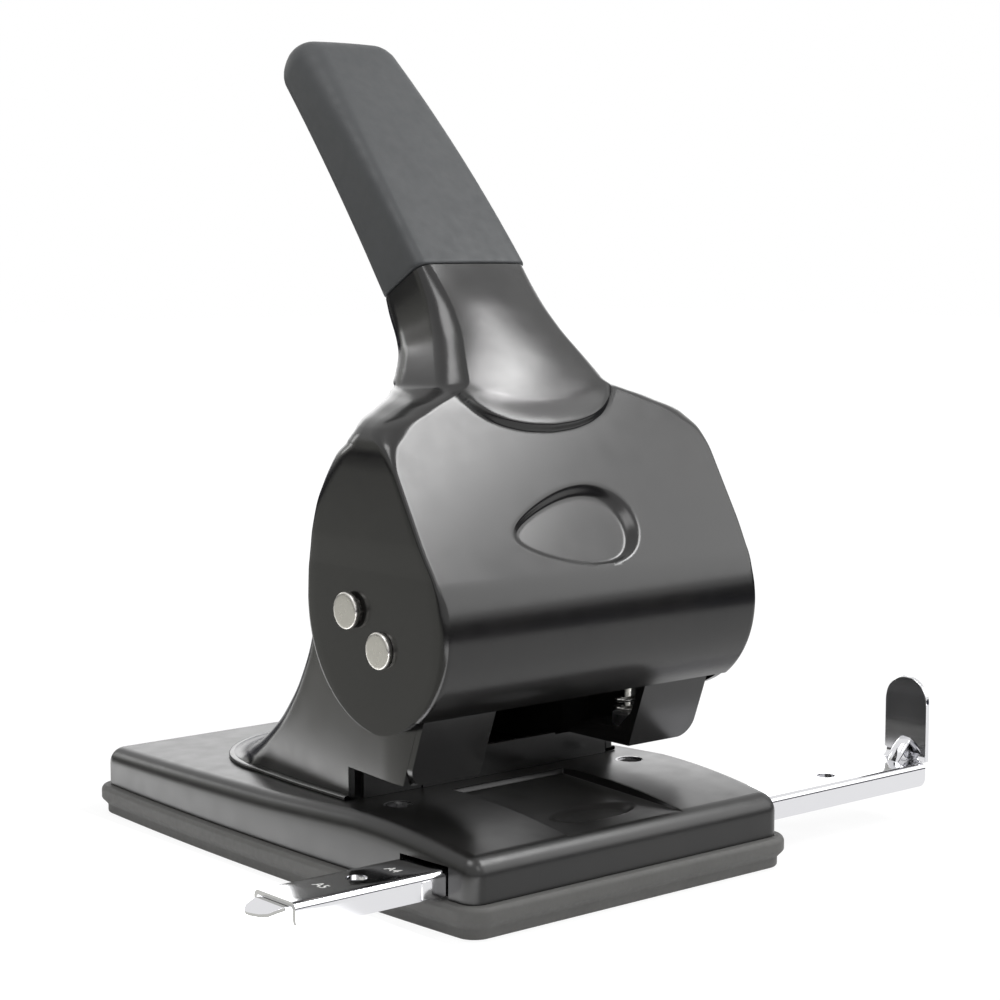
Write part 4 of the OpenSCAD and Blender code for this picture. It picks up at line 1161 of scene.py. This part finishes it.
# paper sizes are stamped beside the hole, to be read from the left
STAMP_SIZE = 3.7
stamp_z = bar_high.z + 0.012
for mark, x in (("A5", bar_low.x + 13), ("A4", bar_low.x + 34)):
    letters = bpy.data.curves.new("stamp", "FONT")
    letters.body = mark
    letters.size = STAMP_SIZE * MM
    letters.align_x = "CENTER"
    letters.align_y = "CENTER"
    letters.offset = 0.06 * MM
    writing = bpy.data.objects.new("stamp", letters)
    link(writing)
    flat = writing.to_mesh()
    outline = [(x + v.co.y / MM, bar_y - v.co.x / MM, stamp_z) for v in flat.vertices]
    strokes = [tuple(face.vertices) for face in flat.polygons]
    writing.to_mesh_clear()
    bpy.data.objects.remove(writing)
    stamp = make_piece("stamped_" + mark, outline, strokes, stamped)
    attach(stamp, "paper_guide")
    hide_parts("guide_bar")

# the tongue under the left end: flat, then bent down to a blunt point
TONGUE_FRONT = -72.1
TONGUE_REAR = -60.7
TONGUE_BEND_X = -98.6
TONGUE_DIP = radians(24)
tongue_low, tongue_high = box_mm("bar_tongue")
tongue_plan = [(x, TONGUE_FRONT, TONGUE_REAR) for x in (tongue_high.x, -90, -98.4)]
tongue_plan += [
    (-99.6, -71.4, TONGUE_REAR), (-101, -70.4, -60.75), (-101.6, -70.0, -61.2), (-102.4, -68.0, -62.1),
    (tongue_low.x + 0.05, -64.6, -62.9),
]
tongue_points = []
for x, front_y, rear_y in tongue_plan:
    z = tongue_high.z - 0.05 - max(0, TONGUE_BEND_X - x) * tan(TONGUE_DIP)
    tongue_points += [(x, front_y + (rear_y - front_y) * k / 8, z) for k in range(9)]
bar_tongue = make_piece("bent_bar_tongue", tongue_points, grid_faces(len(tongue_plan), 9), plated)
thicken(bar_tongue, 0.9)
settle(bar_tongue, 18)
round_edges(bar_tongue, 0.15, 2, 40)
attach(bar_tongue, "paper_guide")
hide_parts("bar_tongue")


# ---- end stop ------------------------------------------------------------------------
# The bar's right end turns up into a round-topped stop. A rib pressed into the bend keeps
# it stiff.

stop_low, stop_high = box_mm("end_stop")
STOP_T = 1.3
STOP_BEND = 2.2
STOP_NOTCH = 0.9
mid_y = (stop_low.y + stop_high.y) / 2
reach = (stop_high.y - stop_low.y) / 2
bend_x = stop_high.x - STOP_T
bend_foot = bar_high.z + 0.03
stop_outline = [(mid_y - reach, bend_foot), (mid_y - reach, stop_high.z - reach)]
stop_outline += arc(mid_y, stop_high.z - reach, reach, 180, 0, 28)[1:-1]
stop_outline += [(mid_y + reach, stop_high.z - reach), (mid_y + reach, bar_high.z + 2.6),
                 (mid_y + reach - STOP_NOTCH, bar_high.z + 2.2), (mid_y + reach - STOP_NOTCH, bend_foot)]
stop_points = [(x, y, z) for x in (bend_x, stop_high.x) for y, z in stop_outline]
stop = make_piece("upright_end_stop", stop_points, closed_faces(2, len(stop_outline)), plated, 35)
round_edges(stop, 0.3, 3, 40)
bend_line = [(bend_x + 0.4, bar_high.z + STOP_BEND), (bend_x + 0.4, bend_foot),
             (bend_x - STOP_BEND, bend_foot)]
bend_line += arc(bend_x - STOP_BEND, bar_high.z + STOP_BEND + 0.05, STOP_BEND, 270, 360, 8)
bend_points = [(x, y, z) for y in (mid_y - reach + 0.3, mid_y + reach - 1.0) for x, z in bend_line]
bend = make_piece("stop_bend", bend_points, closed_faces(2, len(bend_line)), plated, 35)

# the rib runs up across the bend, swells in its middle and is sunk a little into the metal
RIB_HALF = 2.5
RIB_RUN = 5.8
RIB_RISE = 6.3
RIB_FLAT = 0.62
RIB_SINK = 0.25
RIB_STEPS = 12
RIB_ACROSS = 14
rib_points = []
for k in range(RIB_STEPS + 1):
    t = k / RIB_STEPS
    x = bend_x - RIB_RUN * (1 - t) + RIB_SINK
    z = bar_high.z + 0.05 + RIB_RISE * t - RIB_SINK
    swell = sin(pi * (0.06 + 0.88 * t)) ** 0.5
    for y, out in arc(mid_y, 0, RIB_HALF, 180, 0, RIB_ACROSS):
        lift = RIB_FLAT * out * swell
        rib_points.append((x - 0.73 * lift, mid_y + (y - mid_y) * (0.72 + 0.28 * swell), z + 0.68 * lift))
rib = make_piece("pressed_rib", rib_points, grid_faces(RIB_STEPS + 1, RIB_ACROSS + 1), plated)
for piece in (stop, bend, rib):
    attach(piece, "paper_guide")
    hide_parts("end_stop")


# ---- the dressed model's box ---------------------------------------------------------
# The box round the dressed model's shown pieces, with the set left out.

low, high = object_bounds()
